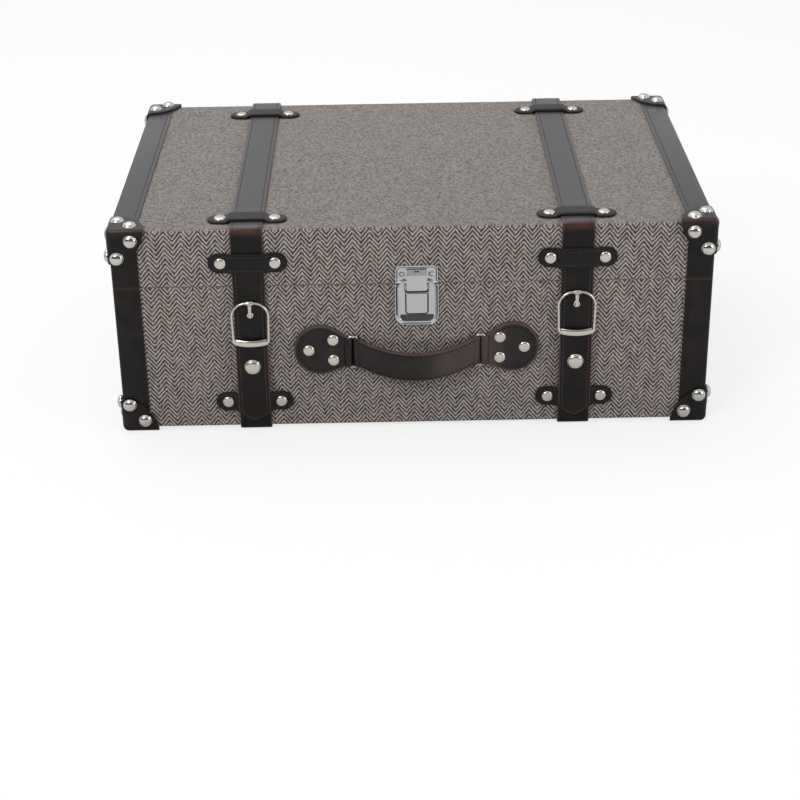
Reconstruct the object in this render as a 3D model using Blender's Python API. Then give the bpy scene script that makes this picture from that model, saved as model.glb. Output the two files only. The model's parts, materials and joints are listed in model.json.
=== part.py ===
# A suitcase-shaped wooden trunk: plywood box and hinged lid, wrapped in herringbone tweed,
# trimmed with leather, with two buckled straps, a toggle latch and a leather carrying handle.
# Metres throughout. X runs across the front, -Y faces the front, Z is up, and the floor is z = 0
# under the middle of the trunk's whole box.
import math

import bpy
import bmesh
from mathutils import Matrix, Vector

for old in list(bpy.data.objects):
    bpy.data.objects.remove(old, do_unlink=True)

# Case over the tweed
CASE_WIDTH = 0.497
CASE_DEPTH = 0.329
BASE_HEIGHT = 0.1303
LID_HEIGHT = 0.050
SEAM_GAP = 0.0006
FIT_GAP = 0.0003
OVERRUN = 0.004

# Angles in degrees
QUARTER_TURN = 90
HALF_TURN = 180
DOME_STEP_ANGLES = (32, 62)
ROUND_END_ANGLE = 80
FLAP_TIP_ANGLE = 78
FLAP_BEND_ANGLES = (70, 40)
SMOOTH_ANGLE = 35

# Fastenings let into what carries them
FASTENER_SINK = 0.0005

# Layers of the walls, from the outside in
CAP_THICKNESS = 0.0016
TRIM_THICKNESS = 0.0011
COVER_THICKNESS = 0.0012
WALL_THICKNESS = 0.007
BOARD_THICKNESS = 0.005
LINING_THICKNESS = 0.0008
COVER_EDGE_RADIUS = 0.0018
EDGE_STEPS = 3

# Leather edge trims and corner caps
TRIM_WIDTH = 0.0227
CAP_REACH = 0.0315
CAP_ARC_STEPS = 40
STUD_DIAMETER = 0.0116
STUD_HEIGHT = 0.0035
STUD_RIM_HEIGHT = 0.0007
STUD_SIDES = 12
NEAR_STUD_ASIDE = 0.0082
NEAR_STUD_ALONG = 0.0262
FAR_STUD_ASIDE = 0.0202
FAR_STUD_ALONG = 0.0112
CLOSE_STUD_INSET = 0.0084
WIDE_STUD_INSET = 0.0196

# Straps
STRAP_WIDTH = 0.027
STRAP_THICKNESS = 0.0022
STRAP_INSET = 0.112
STRAP_END_GAP = 0.001
BEND_STEPS = 4
BASE_STRAP_BELOW_SEAM = 0.0619
STRAP_END_RIVET_INSET = 0.009

# Strap keepers
KEEPER_LENGTH = 0.066
KEEPER_WIDTH = 0.0172
KEEPER_THICKNESS = 0.002
KEEPER_RAMP = 0.0026
KEEPER_STRAP_CLEARANCE = 0.0013
KEEPER_RIVET_SPACING = 0.0452
FRONT_KEEPER_ABOVE_SEAM = 0.0214
BASE_KEEPER_HEIGHT = 0.0276
TOP_FRONT_KEEPER_INSET = 0.0204
TOP_BACK_KEEPER_INSET = 0.0347
ROUND_END_STEPS = 4

# Low domed rivets
RIVET_DIAMETER = 0.0100
RIVET_HEIGHT = 0.0017
RIVET_SIDES = 10
SMALL_RIVET_DIAMETER = 0.0052
SMALL_RIVET_HEIGHT = 0.0012

# Free end of each strap, which hangs from the lid over the front
FLAP_AXIS_BELOW_KEEPER = 0.0037
FLAP_LIFT_BELOW_SEAM = 0.0539
FLAP_LIFT = 0.0040
FLAP_TIP_HEIGHT = 0.0130
FLAP_TIP_LENGTH = 0.0085
SNAP_BELOW_SEAM = 0.0715
SNAP_DIAMETER = 0.0138
SNAP_CAP_HEIGHT = 0.0028
SOCKET_DIAMETER = 0.0100
SOCKET_HEIGHT = 0.0022

# Buckles
BUCKLE_WIDTH = 0.0330
BUCKLE_FOOT_WIDTH = 0.0316
BUCKLES_BELOW_SEAM = {"left": 0.0123, "right": 0.0074}
BUCKLE_LENGTH = 0.0395
BUCKLE_ARCH_HEIGHT = 0.0125
BUCKLE_WIRE = 0.0021
BUCKLE_BAR_WIDTH = 0.0052
BUCKLE_BAR_THICKNESS = 0.0014
BUCKLE_BAR_BOW = 0.0028
BUCKLE_BAR_DROP = 0.0013
BUCKLE_ARCH_STEPS = 8
BUCKLE_BAR_STEPS = 6
PRONG_KNUCKLE_WIDTH = 0.0056
PRONG_WALL = 0.0007
PRONG_LENGTH = 0.0128
PRONG_WIDTH = 0.0030
PRONG_TIP_WIDTH = 0.0018
PRONG_THICKNESS = 0.0011
EYELET_DIAMETER = 0.0054
EYELET_HOLE_DIAMETER = 0.0024
EYELET_HEIGHT = 0.0005
EYELET_BELOW_BUCKLE_TOP = 0.0125

# Toggle latch
LATCH_OFFSET = 0.0030
PLATE_THICKNESS = 0.0012
CATCH_WIDTH = 0.0356
CATCH_TOP_ABOVE_SEAM = 0.0164
CATCH_CORNER_RADIUS = 0.0045
CATCH_RIVET_SPACING = 0.0246
CATCH_RIVETS_ABOVE_SEAM = 0.0093
LEDGE_WIDTH = 0.0150
LEDGE_ABOVE_SEAM = 0.0043
LEDGE_HEIGHT = 0.0048
LEDGE_REACH = 0.0030
LATCH_BASE_WIDTH = 0.0367
LATCH_BASE_BELOW_SEAM = 0.0372
LATCH_BASE_CORNER_RADIUS = 0.0080
LEVER_WIDTH = 0.0330
LEVER_BOTTOM_BELOW_SEAM = 0.0335
LEVER_TOP_ABOVE_SEAM = 0.0056
LEVER_TOP_RADIUS = 0.0100
LEVER_BOTTOM_RADIUS = 0.0070
LEVER_THICKNESS = 0.0022
LEVER_STANDOFF = 0.0032
LEVER_AXIS_ABOVE_SEAM = 0.0023
LEVER_SLOT_WIDTH = 0.0216
LEVER_SLOT_BELOW_SEAM = 0.0061
LEVER_PAD_WIDTH = 0.0176
LEVER_PAD_BELOW_SEAM = 0.0250
LEVER_PAD_LENGTH = 0.0188
LEVER_PAD_HEIGHT = 0.0006
LATCH_KNUCKLE_RADIUS = 0.0014
LATCH_PIN_RADIUS = 0.0005
LATCH_PIN_DEPTH = 0.0015
EAR_WIDTH = 0.0012
EAR_ARM_THICKNESS = 0.0012
HOOK_WIDTH = 0.0168
HOOK_AXIS_BELOW_SEAM = 0.0036
HOOK_FOOT_BELOW_AXIS = 0.0009
HOOK_BEND_ABOVE_SEAM = 0.0093
HOOK_TIP_ABOVE_SEAM = 0.0134
HOOK_TIP_DISTANCE = 0.0030
HOOK_THICKNESS = 0.0009
HOOK_BACK_WALL = 0.0002
CORNER_STEPS = 4

# Carrying handle
HANDLE_OFFSET = 0.0023
TAB_REACH = 0.1036
TAB_RADIUS = 0.0225
TAB_BELOW_SEAM = 0.0585
TAB_THICKNESS = 0.0035
TAB_TAPER_ANGLE = math.radians(65)
TAB_ARC_STEPS = 12
RING_SPACING = 0.1078
RING_BELOW_SEAM = 0.0604
RING_WIDTH = 0.0080
RING_LENGTH = 0.0288
RING_CORNER_RADIUS = 0.0022
RING_WIRE = 0.0022
RING_STANDOFF = 0.0036
LOOP_LEATHER = 0.0018
LOOP_LENGTH = 0.0256
GRIP_THICKNESS = 0.0040
GRIP_WIDTH = 0.0256
GRIP_SAG = 0.0106
GRIP_BOW = 0.0104
GRIP_HALF_SPAN = 0.0430
GRIP_STEPS = 12
GRIP_EDGE_RADIUS = 0.0010
HANDLE_AXIS_BELOW_SEAM = 0.0559
HANDLE_AXIS_DISTANCE = 0.0060
OUTER_TAB_RIVET_REACH = 0.0910
INNER_TAB_RIVET_REACH = 0.0703
INNER_TAB_RIVET_SPREAD = 0.0186

# Butt hinges on the back
HINGE_TO_STRAP = 0.018
HINGE_WIDTH = 0.040
HINGE_LEAF_HEIGHT = 0.022
HINGE_LEAF_THICKNESS = 0.0012
HINGE_TUBE_RADIUS = 0.0026
HINGE_BORE_RADIUS = 0.0015
HINGE_PIN_RADIUS = 0.0012
HINGE_PIN_HEAD_RADIUS = 0.0022
HINGE_PIN_HEAD_LENGTH = 0.0010
HINGE_LEAF_OVERLAP = 0.0010
HINGE_RIVET_SPACING = 0.0130
HINGE_KNUCKLES = 5
ROUND_SIDES = 12

# Levels and faces that follow from the sizes above
trim_seat = FIT_GAP
trim_face = trim_seat + TRIM_THICKNESS
cap_seat = trim_face + FIT_GAP
cap_face = cap_seat + CAP_THICKNESS
strap_seat = FIT_GAP
strap_face = strap_seat + STRAP_THICKNESS
keeper_bridge_seat = strap_face + FIT_GAP
keeper_bridge_face = keeper_bridge_seat + KEEPER_THICKNESS
keeper_pad_face = FIT_GAP + KEEPER_THICKNESS

front_stand_off = RING_STANDOFF + GRIP_BOW + GRIP_THICKNESS / 2
back_stand_off = cap_face + STUD_HEIGHT
whole_depth = front_stand_off + CASE_DEPTH + back_stand_off
front_y = front_stand_off - whole_depth / 2
back_y = front_y + CASE_DEPTH
side_x = CASE_WIDTH / 2
base_bottom_z = cap_face
base_rim_z = base_bottom_z + BASE_HEIGHT
lid_rim_z = base_rim_z + SEAM_GAP
lid_top_z = lid_rim_z + LID_HEIGHT
seam_z = base_rim_z + SEAM_GAP / 2
strap_xs = {"left": STRAP_INSET - side_x, "right": side_x - STRAP_INSET}

# Heights of what is set out from the seam
front_keeper_height = seam_z + FRONT_KEEPER_ABOVE_SEAM
catch_top = seam_z + CATCH_TOP_ABOVE_SEAM
catch_rivet_height = seam_z + CATCH_RIVETS_ABOVE_SEAM
ledge_bottom = seam_z + LEDGE_ABOVE_SEAM
lever_top = seam_z + LEVER_TOP_ABOVE_SEAM
lever_axis_height = seam_z + LEVER_AXIS_ABOVE_SEAM
hook_bend_height = seam_z + HOOK_BEND_ABOVE_SEAM
hook_tip_height = seam_z + HOOK_TIP_ABOVE_SEAM
base_strap_top = seam_z - BASE_STRAP_BELOW_SEAM
flap_lift_height = seam_z - FLAP_LIFT_BELOW_SEAM
snap_height = seam_z - SNAP_BELOW_SEAM
latch_base_bottom = seam_z - LATCH_BASE_BELOW_SEAM
lever_bottom = seam_z - LEVER_BOTTOM_BELOW_SEAM
lever_slot_bottom = seam_z - LEVER_SLOT_BELOW_SEAM
lever_pad_bottom = seam_z - LEVER_PAD_BELOW_SEAM
hook_axis_height = seam_z - HOOK_AXIS_BELOW_SEAM
tab_height = seam_z - TAB_BELOW_SEAM
ring_height = seam_z - RING_BELOW_SEAM
handle_axis_height = seam_z - HANDLE_AXIS_BELOW_SEAM
buckle_tops = {side: seam_z - drop for side, drop in BUCKLES_BELOW_SEAM.items()}

X = Vector((1, 0, 0))
Y = Vector((0, 1, 0))
Z = Vector((0, 0, 1))

# Finishes: colour, roughness and metallic value
TWEED = ((0.26, 0.235, 0.22), 0.95, 0.0)
LEATHER = ((0.022, 0.014, 0.012), 0.42, 0.0)
PLYWOOD = ((0.48, 0.34, 0.20), 0.70, 0.0)
LINING = ((0.10, 0.085, 0.078), 0.92, 0.0)
SATIN_NICKEL = ((0.66, 0.63, 0.55), 0.32, 1.0)
CHROME = ((0.62, 0.63, 0.64), 0.25, 1.0)
BRIGHT_STEEL = ((0.55, 0.55, 0.55), 0.30, 1.0)


# Seats: a local frame of across, along and outward on each face of the case
def seat(origin, across, along):
    """Frame whose first two axes lie in a face and whose third points out of it."""
    outward = across.cross(along)
    frame = Matrix((across, along, outward)).transposed().to_4x4()
    return Matrix.Translation(Vector(origin)) @ frame


FRONT = seat((0, front_y, 0), X, Z)
BACK = seat((0, back_y, 0), -X, Z)
TOP = seat((0, 0, lid_top_z), X, Y)
PLAIN = Matrix.Identity(4)


# Shapes: closed bodies gathered in one bmesh for each sub-part
def add_loft(shape, rings, frame=PLAIN, closed=False):
    """Skin a row of rings of equal count, capping both ends unless the row closes on itself."""
    rows = [[shape.verts.new(frame @ Vector(point)) for point in ring] for ring in rings]
    pairs = list(zip(rows, rows[1:]))
    if closed:
        pairs.append((rows[-1], rows[0]))
    for first, second in pairs:
        for index in range(len(first)):
            after = (index + 1) % len(first)
            shape.faces.new((first[index], first[after], second[after], second[index]))
    if not closed:
        shape.faces.new(rows[0][::-1])
        shape.faces.new(rows[-1])


def add_box(shape, low, high, frame=PLAIN):
    """Box between two corners of a frame."""
    rings = []
    for z in (low[2], high[2]):
        rings.append(((low[0], low[1], z), (high[0], low[1], z), (high[0], high[1], z), (low[0], high[1], z)))
    add_loft(shape, rings, frame)


def add_prism(shape, outline, low, high, frame=PLAIN):
    """Flat outline given as across and along points, raised from low to high outward."""
    add_loft(shape, [[(u, v, w) for u, v in outline] for w in (low, high)], frame)


def add_turned(shape, profile, frame=PLAIN, sides=ROUND_SIDES, closed=False):
    """Turn a profile of radius and height about the frame's outward axis; radius 0 is a pole."""
    rows = []
    for radius, height in profile:
        if radius == 0:
            rows.append([shape.verts.new(frame @ Vector((0, 0, height)))])
            continue
        angles = [math.tau * index / sides for index in range(sides)]
        points = [(radius * math.cos(a), radius * math.sin(a), height) for a in angles]
        rows.append([shape.verts.new(frame @ Vector(point)) for point in points])
    pairs = list(zip(rows, rows[1:]))
    if closed:
        pairs.append((rows[-1], rows[0]))
    for first, second in pairs:
        for index in range(sides):
            after = (index + 1) % sides
            corners = [first[index % len(first)], first[after % len(first)]]
            corners += [second[after % len(second)], second[index % len(second)]]
            shape.faces.new(tuple(dict.fromkeys(corners)))
    if not closed:
        for row in (rows[0], rows[-1]):
            if len(row) > 1:
                shape.faces.new(row)


def add_tube(shape, outer, inner, low, high, frame=PLAIN, sides=ROUND_SIDES):
    """Tube about the frame's outward axis."""
    add_turned(shape, [(outer, low), (outer, high), (inner, high), (inner, low)], frame, sides, closed=True)


def add_rod(shape, radius, low, high, frame=PLAIN, sides=ROUND_SIDES):
    """Rod about the frame's outward axis."""
    add_turned(shape, [(radius, low), (radius, high)], frame, sides)


def add_dome(shape, frame, diameter, height, rim, sides):
    """Domed head with a low upright rim, sunk a little into the face at the frame's origin."""
    radius = diameter / 2
    rise = height - rim
    profile = [(radius, -FASTENER_SINK), (radius, rim)]
    for degrees in DOME_STEP_ANGLES:
        angle = math.radians(degrees)
        profile.append((radius * math.cos(angle), rim + rise * math.sin(angle)))
    profile.append((0, height))
    add_turned(shape, profile, frame, sides)


def face_outwards(shape):
    """Point every face of a closed shape outwards."""
    bmesh.ops.recalc_face_normals(shape, faces=shape.faces)
    if shape.calc_volume(signed=True) < 0:
        bmesh.ops.reverse_faces(shape, faces=shape.faces)


def boolean(shape, other, operation):
    """Exact union, difference or intersection of two closed shapes, as a new shape."""
    pair = []
    for source in (shape, other):
        face_outwards(source)
        mesh = bpy.data.meshes.new("working")
        source.to_mesh(mesh)
        source.free()
        pair.append(bpy.data.objects.new("working", mesh))
        bpy.context.scene.collection.objects.link(pair[-1])
    body, tool = pair
    modifier = body.modifiers.new("boolean", "BOOLEAN")
    modifier.operation = operation
    modifier.object = tool
    modifier.solver = "EXACT"
    graph = bpy.context.evaluated_depsgraph_get()
    mesh = bpy.data.meshes.new_from_object(body.evaluated_get(graph))
    result = bmesh.new()
    result.from_mesh(mesh)
    bpy.data.meshes.remove(mesh)
    for item in pair:
        bpy.data.objects.remove(item, do_unlink=True)
    return result


def cut(shape, other):
    return boolean(shape, other, "DIFFERENCE")


def join(shape, other):
    return boolean(shape, other, "UNION")


def boxes(*corner_pairs, frame=PLAIN):
    """Shape of one or more boxes."""
    shape = bmesh.new()
    for low, high in corner_pairs:
        add_box(shape, low, high, frame)
    return shape


def make_node(name, shape, finish, axis=None):
    """Turn a shape into the named object, hung on its joint's empty when it moves."""
    face_outwards(shape)
    mesh = bpy.data.meshes.new(name)
    shape.to_mesh(mesh)
    shape.free()
    material = bpy.data.materials.new(name + "_finish")
    material.use_nodes = True
    shader = material.node_tree.nodes["Principled BSDF"]
    colour, roughness, metallic = finish
    shader.inputs["Base Color"].default_value = (*colour, 1)
    shader.inputs["Roughness"].default_value = roughness
    shader.inputs["Metallic"].default_value = metallic
    mesh.materials.append(material)
    mesh.shade_smooth()
    mesh.set_sharp_from_angle(angle=math.radians(SMOOTH_ANGLE))
    node = bpy.data.objects.new(name, mesh)
    bpy.context.scene.collection.objects.link(node)
    if axis:
        mesh.transform(Matrix.Translation(-Vector(axis["place"])))
        node.parent = axis
    return node


def make_axis(name, place, parent=None):
    """Empty on a joint's axis; place is in world coordinates."""
    empty = bpy.data.objects.new(name, None)
    empty.empty_display_size = RIVET_DIAMETER
    bpy.context.scene.collection.objects.link(empty)
    empty["place"] = tuple(place)
    empty.location = place
    if parent:
        empty.parent = parent
        empty.location = Vector(place) - Vector(parent["place"])
    return empty


def shifted(frame, across=0, along=0, outward=0):
    """The same frame with its origin moved in its own axes."""
    return frame @ Matrix.Translation(Vector((across, along, outward)))


def frame_of(origin, across, along, outward):
    """Frame with three given axes, which may be left-handed."""
    axes = Matrix((across, along, outward)).transposed().to_4x4()
    return Matrix.Translation(Vector(origin)) @ axes


def rounded_box(low, high, radius, rounds=lambda edge: True):
    """Box whose chosen edges are rounded."""
    shape = boxes((low, high))
    edges = [edge for edge in shape.edges if rounds(edge)]
    bmesh.ops.bevel(
        shape, geom=edges, offset=radius, offset_type="OFFSET", segments=EDGE_STEPS, profile=0.5, affect="EDGES")
    return shape


# Case: the box and the lid are alike, each a tray of panels with its own cover and lining
panel_x = side_x - COVER_THICKNESS - FIT_GAP
panel_front = front_y + COVER_THICKNESS + FIT_GAP
panel_back = back_y - COVER_THICKNESS - FIT_GAP


def make_panels(half, board_name, rim_z, closed_z, inward):
    """Four walls and the board that closes them, with the board fitted between the walls."""
    outer_z = closed_z + inward * (COVER_THICKNESS + FIT_GAP)
    board_z = outer_z + inward * BOARD_THICKNESS
    wall_front = panel_front + WALL_THICKNESS
    wall_back = panel_back - WALL_THICKNESS
    wall_x = panel_x - WALL_THICKNESS
    sides = {
        half + "_front_panel": ((-panel_x, panel_front, outer_z), (panel_x, wall_front, rim_z)),
        half + "_back_panel": ((-panel_x, wall_back, outer_z), (panel_x, panel_back, rim_z)),
    }
    for name, sign in (("_left_panel", -1), ("_right_panel", 1)):
        low = (sign * wall_x, wall_front + FIT_GAP, outer_z)
        sides[half + name] = (low, (sign * panel_x, wall_back - FIT_GAP, rim_z))
    board_x = wall_x - FIT_GAP
    low = (-board_x, wall_front + FIT_GAP, outer_z)
    sides[half + board_name] = (low, (board_x, wall_back - FIT_GAP, board_z))
    axis = lid_axis if half == "lid" else None
    for name, corners in sides.items():
        make_node(name, boxes(corners), PLYWOOD, axis)


def make_cover(half, rim_z, closed_z, inward):
    """Tweed skin over the outside of a tray, rounded along every edge but its rim."""
    def away_from_rim(edge):
        return any(abs(vert.co.z - rim_z) > FIT_GAP for vert in edge.verts)

    outer = rounded_box((-side_x, front_y, closed_z), (side_x, back_y, rim_z), COVER_EDGE_RADIUS, away_from_rim)
    inner_x = side_x - COVER_THICKNESS
    inner_front = front_y + COVER_THICKNESS
    inner_back = back_y - COVER_THICKNESS
    inner_z = closed_z + inward * COVER_THICKNESS
    hollow = boxes(((-inner_x, inner_front, inner_z), (inner_x, inner_back, rim_z + inward * OVERRUN)))
    make_node(half + "_cover", cut(outer, hollow), TWEED, lid_axis if half == "lid" else None)


def make_lining(half, rim_z, closed_z, inward):
    """Cloth lining of a tray's inside."""
    outer_x = panel_x - WALL_THICKNESS - FIT_GAP
    outer_front = panel_front + WALL_THICKNESS + FIT_GAP
    outer_back = panel_back - WALL_THICKNESS - FIT_GAP
    outer_z = closed_z + inward * (COVER_THICKNESS + FIT_GAP + BOARD_THICKNESS + FIT_GAP)
    outer = boxes(((-outer_x, outer_front, outer_z), (outer_x, outer_back, rim_z)))
    low = (LINING_THICKNESS - outer_x, outer_front + LINING_THICKNESS, outer_z + inward * LINING_THICKNESS)
    high = (outer_x - LINING_THICKNESS, outer_back - LINING_THICKNESS, rim_z + inward * OVERRUN)
    make_node(half + "_lining", cut(outer, boxes((low, high))), LINING, lid_axis if half == "lid" else None)


# Leather edge trims: one binding on each end of each half, folded over its side edge and two corners
def case_block(offset, rim_z, closed_z, inward, past_rim):
    """Rounded block as large as one half of the case grown by an offset."""
    def away_from_rim(edge):
        return any(abs(vert.co.z - rim_z - inward * past_rim) > FIT_GAP for vert in edge.verts)

    low = (-side_x - offset, front_y - offset, closed_z - inward * offset)
    high = (side_x + offset, back_y + offset, rim_z + inward * past_rim)
    return rounded_box(low, high, COVER_EDGE_RADIUS + offset, away_from_rim)


def make_trim(half, side, rim_z, closed_z, inward):
    """One end's binding, cut from a skin round the half; the right one mirrors the left."""
    edge_x = TRIM_WIDTH - side_x - trim_face
    edge_front = front_y - trim_face + TRIM_WIDTH
    edge_back = back_y + trim_face - TRIM_WIDTH
    edge_z = closed_z - inward * (trim_face - TRIM_WIDTH)
    beyond, past_rim = closed_z - inward * OVERRUN, rim_z + inward * OVERRUN
    beyond_front, beyond_back = front_y - OVERRUN, back_y + OVERRUN
    outline = [
        (beyond_front, past_rim), (beyond_front, beyond), (beyond_back, beyond), (beyond_back, past_rim),
        (edge_back, past_rim), (edge_back, edge_z), (edge_front, edge_z), (edge_front, past_rim)]
    reach = bmesh.new()
    add_prism(reach, outline, -side_x - OVERRUN, edge_x, seat((0, 0, 0), Y, Z))
    skin = case_block(trim_face, rim_z, closed_z, inward, 0)
    skin = cut(skin, case_block(trim_seat, rim_z, closed_z, inward, OVERRUN))
    shape = boolean(skin, reach, "INTERSECT")
    if side == "right":
        shape.transform(Matrix.Scale(-1, 4, X))
    make_node(half + "_trim_" + side, shape, LEATHER, lid_axis if half == "lid" else None)


# Corner caps and their dome studs
def cap_shape():
    """Leather cap folded over a corner at the origin, its three flaps each cut to a quarter round."""
    reach = Vector((1, 1, 1))
    far_side = CAP_REACH + OVERRUN
    outer_radius = COVER_EDGE_RADIUS + cap_face
    outer = rounded_box((0, 0, 0), reach * far_side, outer_radius)
    inner = rounded_box(reach * CAP_THICKNESS, reach * (far_side + OVERRUN), outer_radius - CAP_THICKNESS)
    half_step = math.pi / CAP_ARC_STEPS
    turned = Matrix.Rotation(half_step, 4, "Z") @ Matrix.Rotation(half_step, 4, "X")
    round_cut = bmesh.new()
    bmesh.ops.create_uvsphere(
        round_cut, u_segments=CAP_ARC_STEPS, v_segments=CAP_ARC_STEPS // 2, radius=CAP_REACH, matrix=turned)
    return boolean(cut(outer, inner), round_cut, "INTERSECT")


def stud_shape(faces):
    """Two dome studs on each named face of a cap whose corner is at the origin."""
    axes = {"x": X, "y": Y, "z": Z}
    upright_face = ((NEAR_STUD_ASIDE, NEAR_STUD_ALONG), (FAR_STUD_ASIDE, FAR_STUD_ALONG))
    level_face = ((CLOSE_STUD_INSET, WIDE_STUD_INSET), (WIDE_STUD_INSET, CLOSE_STUD_INSET))
    patterns = {"y": ("x", "z", upright_face), "x": ("y", "z", upright_face), "z": ("x", "y", level_face)}
    shape = bmesh.new()
    for face in faces:
        across, along, places = patterns[face]
        for aside, away in places:
            origin = axes[across] * aside + axes[along] * away
            frame = frame_of(origin, axes[across], axes[along], -axes[face])
            add_dome(shape, frame, STUD_DIAMETER, STUD_HEIGHT, STUD_RIM_HEIGHT, STUD_SIDES)
    return shape


def make_caps():
    """A studded cap on every corner; the lower four carry the trunk, so they have no studs underneath."""
    halves = (("base", base_bottom_z, 1, "xy", None), ("lid", lid_top_z, -1, "xyz", lid_axis))
    for half, closed_z, inward, faces, axis in halves:
        for depth_name, sign_y, face_y in (("front", -1, front_y), ("back", 1, back_y)):
            for side, sign_x in (("left", -1), ("right", 1)):
                corner = (sign_x * (side_x + cap_face), face_y + sign_y * cap_face, closed_z - inward * cap_face)
                shape = join(cap_shape(), stud_shape(faces))
                shape.transform(frame_of(corner, -sign_x * X, -sign_y * Y, inward * Z))
                make_node(half + "_" + depth_name + "_" + side + "_cap", shape, LEATHER, axis)


# Straps: flat leather bands that follow the case's outline round its edges
def add_band(shape, centre_x, stations):
    """Band across X; a station has its half width, its back point, its outward direction and its thickness."""
    rings = []
    for half_width, back, outward, thickness in stations:
        face = (back[0] + outward[0] * thickness, back[1] + outward[1] * thickness)
        left, right = centre_x - half_width, centre_x + half_width
        rings.append(((left, *back), (right, *back), (right, *face), (left, *face)))
    add_loft(shape, rings)


def bend(centre_y, centre_z, start, end):
    """Stations of a strap round one rounded edge of the case, from one angle to another in degrees."""
    stations = []
    for step in range(BEND_STEPS + 1):
        angle = math.radians(start + (end - start) * step / BEND_STEPS)
        outward = (math.cos(angle), math.sin(angle))
        radius = COVER_EDGE_RADIUS + strap_seat
        back = (centre_y + radius * outward[0], centre_z + radius * outward[1])
        stations.append((STRAP_WIDTH / 2, back, outward, STRAP_THICKNESS))
    return stations


keeper_foot_z = front_keeper_height - KEEPER_WIDTH / 2
flap_axis_z = keeper_foot_z - FLAP_AXIS_BELOW_KEEPER
flap_axis_distance = strap_seat + STRAP_THICKNESS / 2
lid_strap_end_z = flap_axis_z + STRAP_THICKNESS / 2 + FIT_GAP


def upright(y, z, outward_y):
    """Station on an upright stretch of strap."""
    return (STRAP_WIDTH / 2, (y, z), (outward_y, 0), STRAP_THICKNESS)


def make_lid_strap(side):
    """Strap from low on the lid's back, over the top and down to the flap on the front."""
    near_back, near_front = back_y - COVER_EDGE_RADIUS, front_y + COVER_EDGE_RADIUS
    edge_z = lid_top_z - COVER_EDGE_RADIUS
    stations = [upright(back_y + strap_seat, lid_rim_z + STRAP_END_GAP, 1)]
    stations += bend(near_back, edge_z, 0, QUARTER_TURN)
    stations += bend(near_front, edge_z, QUARTER_TURN, HALF_TURN)
    stations.append(upright(front_y - strap_seat, lid_strap_end_z, -1))
    shape = bmesh.new()
    add_band(shape, strap_xs[side], stations)
    rivet_height = lid_rim_z + STRAP_END_GAP + STRAP_END_RIVET_INSET
    shape = join(shape, strap_end_rivet(side, rivet_height))
    make_node("lid_strap_" + side, shape, LEATHER, lid_axis)


def make_base_strap(side):
    """Strap from high on the base's back, under the bottom and up the front beneath the flap."""
    near_back, near_front = back_y - COVER_EDGE_RADIUS, front_y + COVER_EDGE_RADIUS
    edge_z = base_bottom_z + COVER_EDGE_RADIUS
    stations = [upright(back_y + strap_seat, base_rim_z - STRAP_END_GAP, 1)]
    stations += bend(near_back, edge_z, 0, -QUARTER_TURN)
    stations += bend(near_front, edge_z, -QUARTER_TURN, -HALF_TURN)
    stations.append(upright(front_y - strap_seat, base_strap_top, -1))
    shape = bmesh.new()
    add_band(shape, strap_xs[side], stations)
    rivet_height = base_rim_z - STRAP_END_GAP - STRAP_END_RIVET_INSET
    shape = join(shape, strap_end_rivet(side, rivet_height))
    socket = bmesh.new()
    low = strap_face - FASTENER_SINK
    high = strap_face + SOCKET_HEIGHT
    socket_frame = shifted(FRONT, strap_xs[side], snap_height)
    add_tube(socket, SOCKET_DIAMETER / 2, SOCKET_DIAMETER / 4, low, high, socket_frame)
    make_node("base_strap_" + side, join(shape, socket), LEATHER)


# Keepers: short cross straps that hold the long straps down, riveted at both ends
def add_keeper(shape, frame):
    """Round-ended cross strap that lies on the cover at its ends and bridges a strap between them."""
    end_radius = KEEPER_WIDTH / 2
    straight = KEEPER_LENGTH / 2 - end_radius
    bridge = STRAP_WIDTH / 2 + KEEPER_STRAP_CLEARANCE
    half = [(bridge, end_radius, keeper_bridge_seat), (bridge + KEEPER_RAMP, end_radius, FIT_GAP)]
    for step in range(ROUND_END_STEPS):
        angle = math.radians(ROUND_END_ANGLE) * step / (ROUND_END_STEPS - 1)
        half.append((straight + end_radius * math.sin(angle), end_radius * math.cos(angle), FIT_GAP))
    stations = [(-x, width, back) for x, width, back in half[::-1]] + half
    rings = []
    for x, width, back in stations:
        face = back + KEEPER_THICKNESS
        rings.append(((x, -width, back), (x, width, back), (x, width, face), (x, -width, face)))
    add_loft(shape, rings, frame)


def add_rivet(shape, frame):
    add_dome(shape, frame, RIVET_DIAMETER, RIVET_HEIGHT, RIVET_HEIGHT / 4, RIVET_SIDES)


def add_small_rivet(shape, frame):
    add_dome(shape, frame, SMALL_RIVET_DIAMETER, SMALL_RIVET_HEIGHT, SMALL_RIVET_HEIGHT / 4, RIVET_SIDES)


def make_keeper(name, frame, axis):
    """Keeper with a rivet through each end."""
    keeper = bmesh.new()
    add_keeper(keeper, frame)
    rivets = bmesh.new()
    for sign in (-1, 1):
        add_rivet(rivets, shifted(frame, sign * KEEPER_RIVET_SPACING / 2, 0, keeper_pad_face))
    make_node(name, join(keeper, rivets), LEATHER, axis)


def make_keepers(side):
    """Four keepers along one strap."""
    x = strap_xs[side]
    make_keeper("base_keeper_" + side, shifted(FRONT, x, BASE_KEEPER_HEIGHT), None)
    make_keeper("front_keeper_" + side, shifted(FRONT, x, front_keeper_height), lid_axis)
    make_keeper("top_front_keeper_" + side, shifted(TOP, x, front_y + TOP_FRONT_KEEPER_INSET), lid_axis)
    make_keeper("top_back_keeper_" + side, shifted(TOP, x, back_y - TOP_BACK_KEEPER_INSET), lid_axis)


def strap_end_rivet(side, height):
    """Rivet through a strap's end on the back."""
    shape = bmesh.new()
    add_rivet(shape, shifted(BACK, -strap_xs[side], height, strap_face))
    return shape


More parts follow.
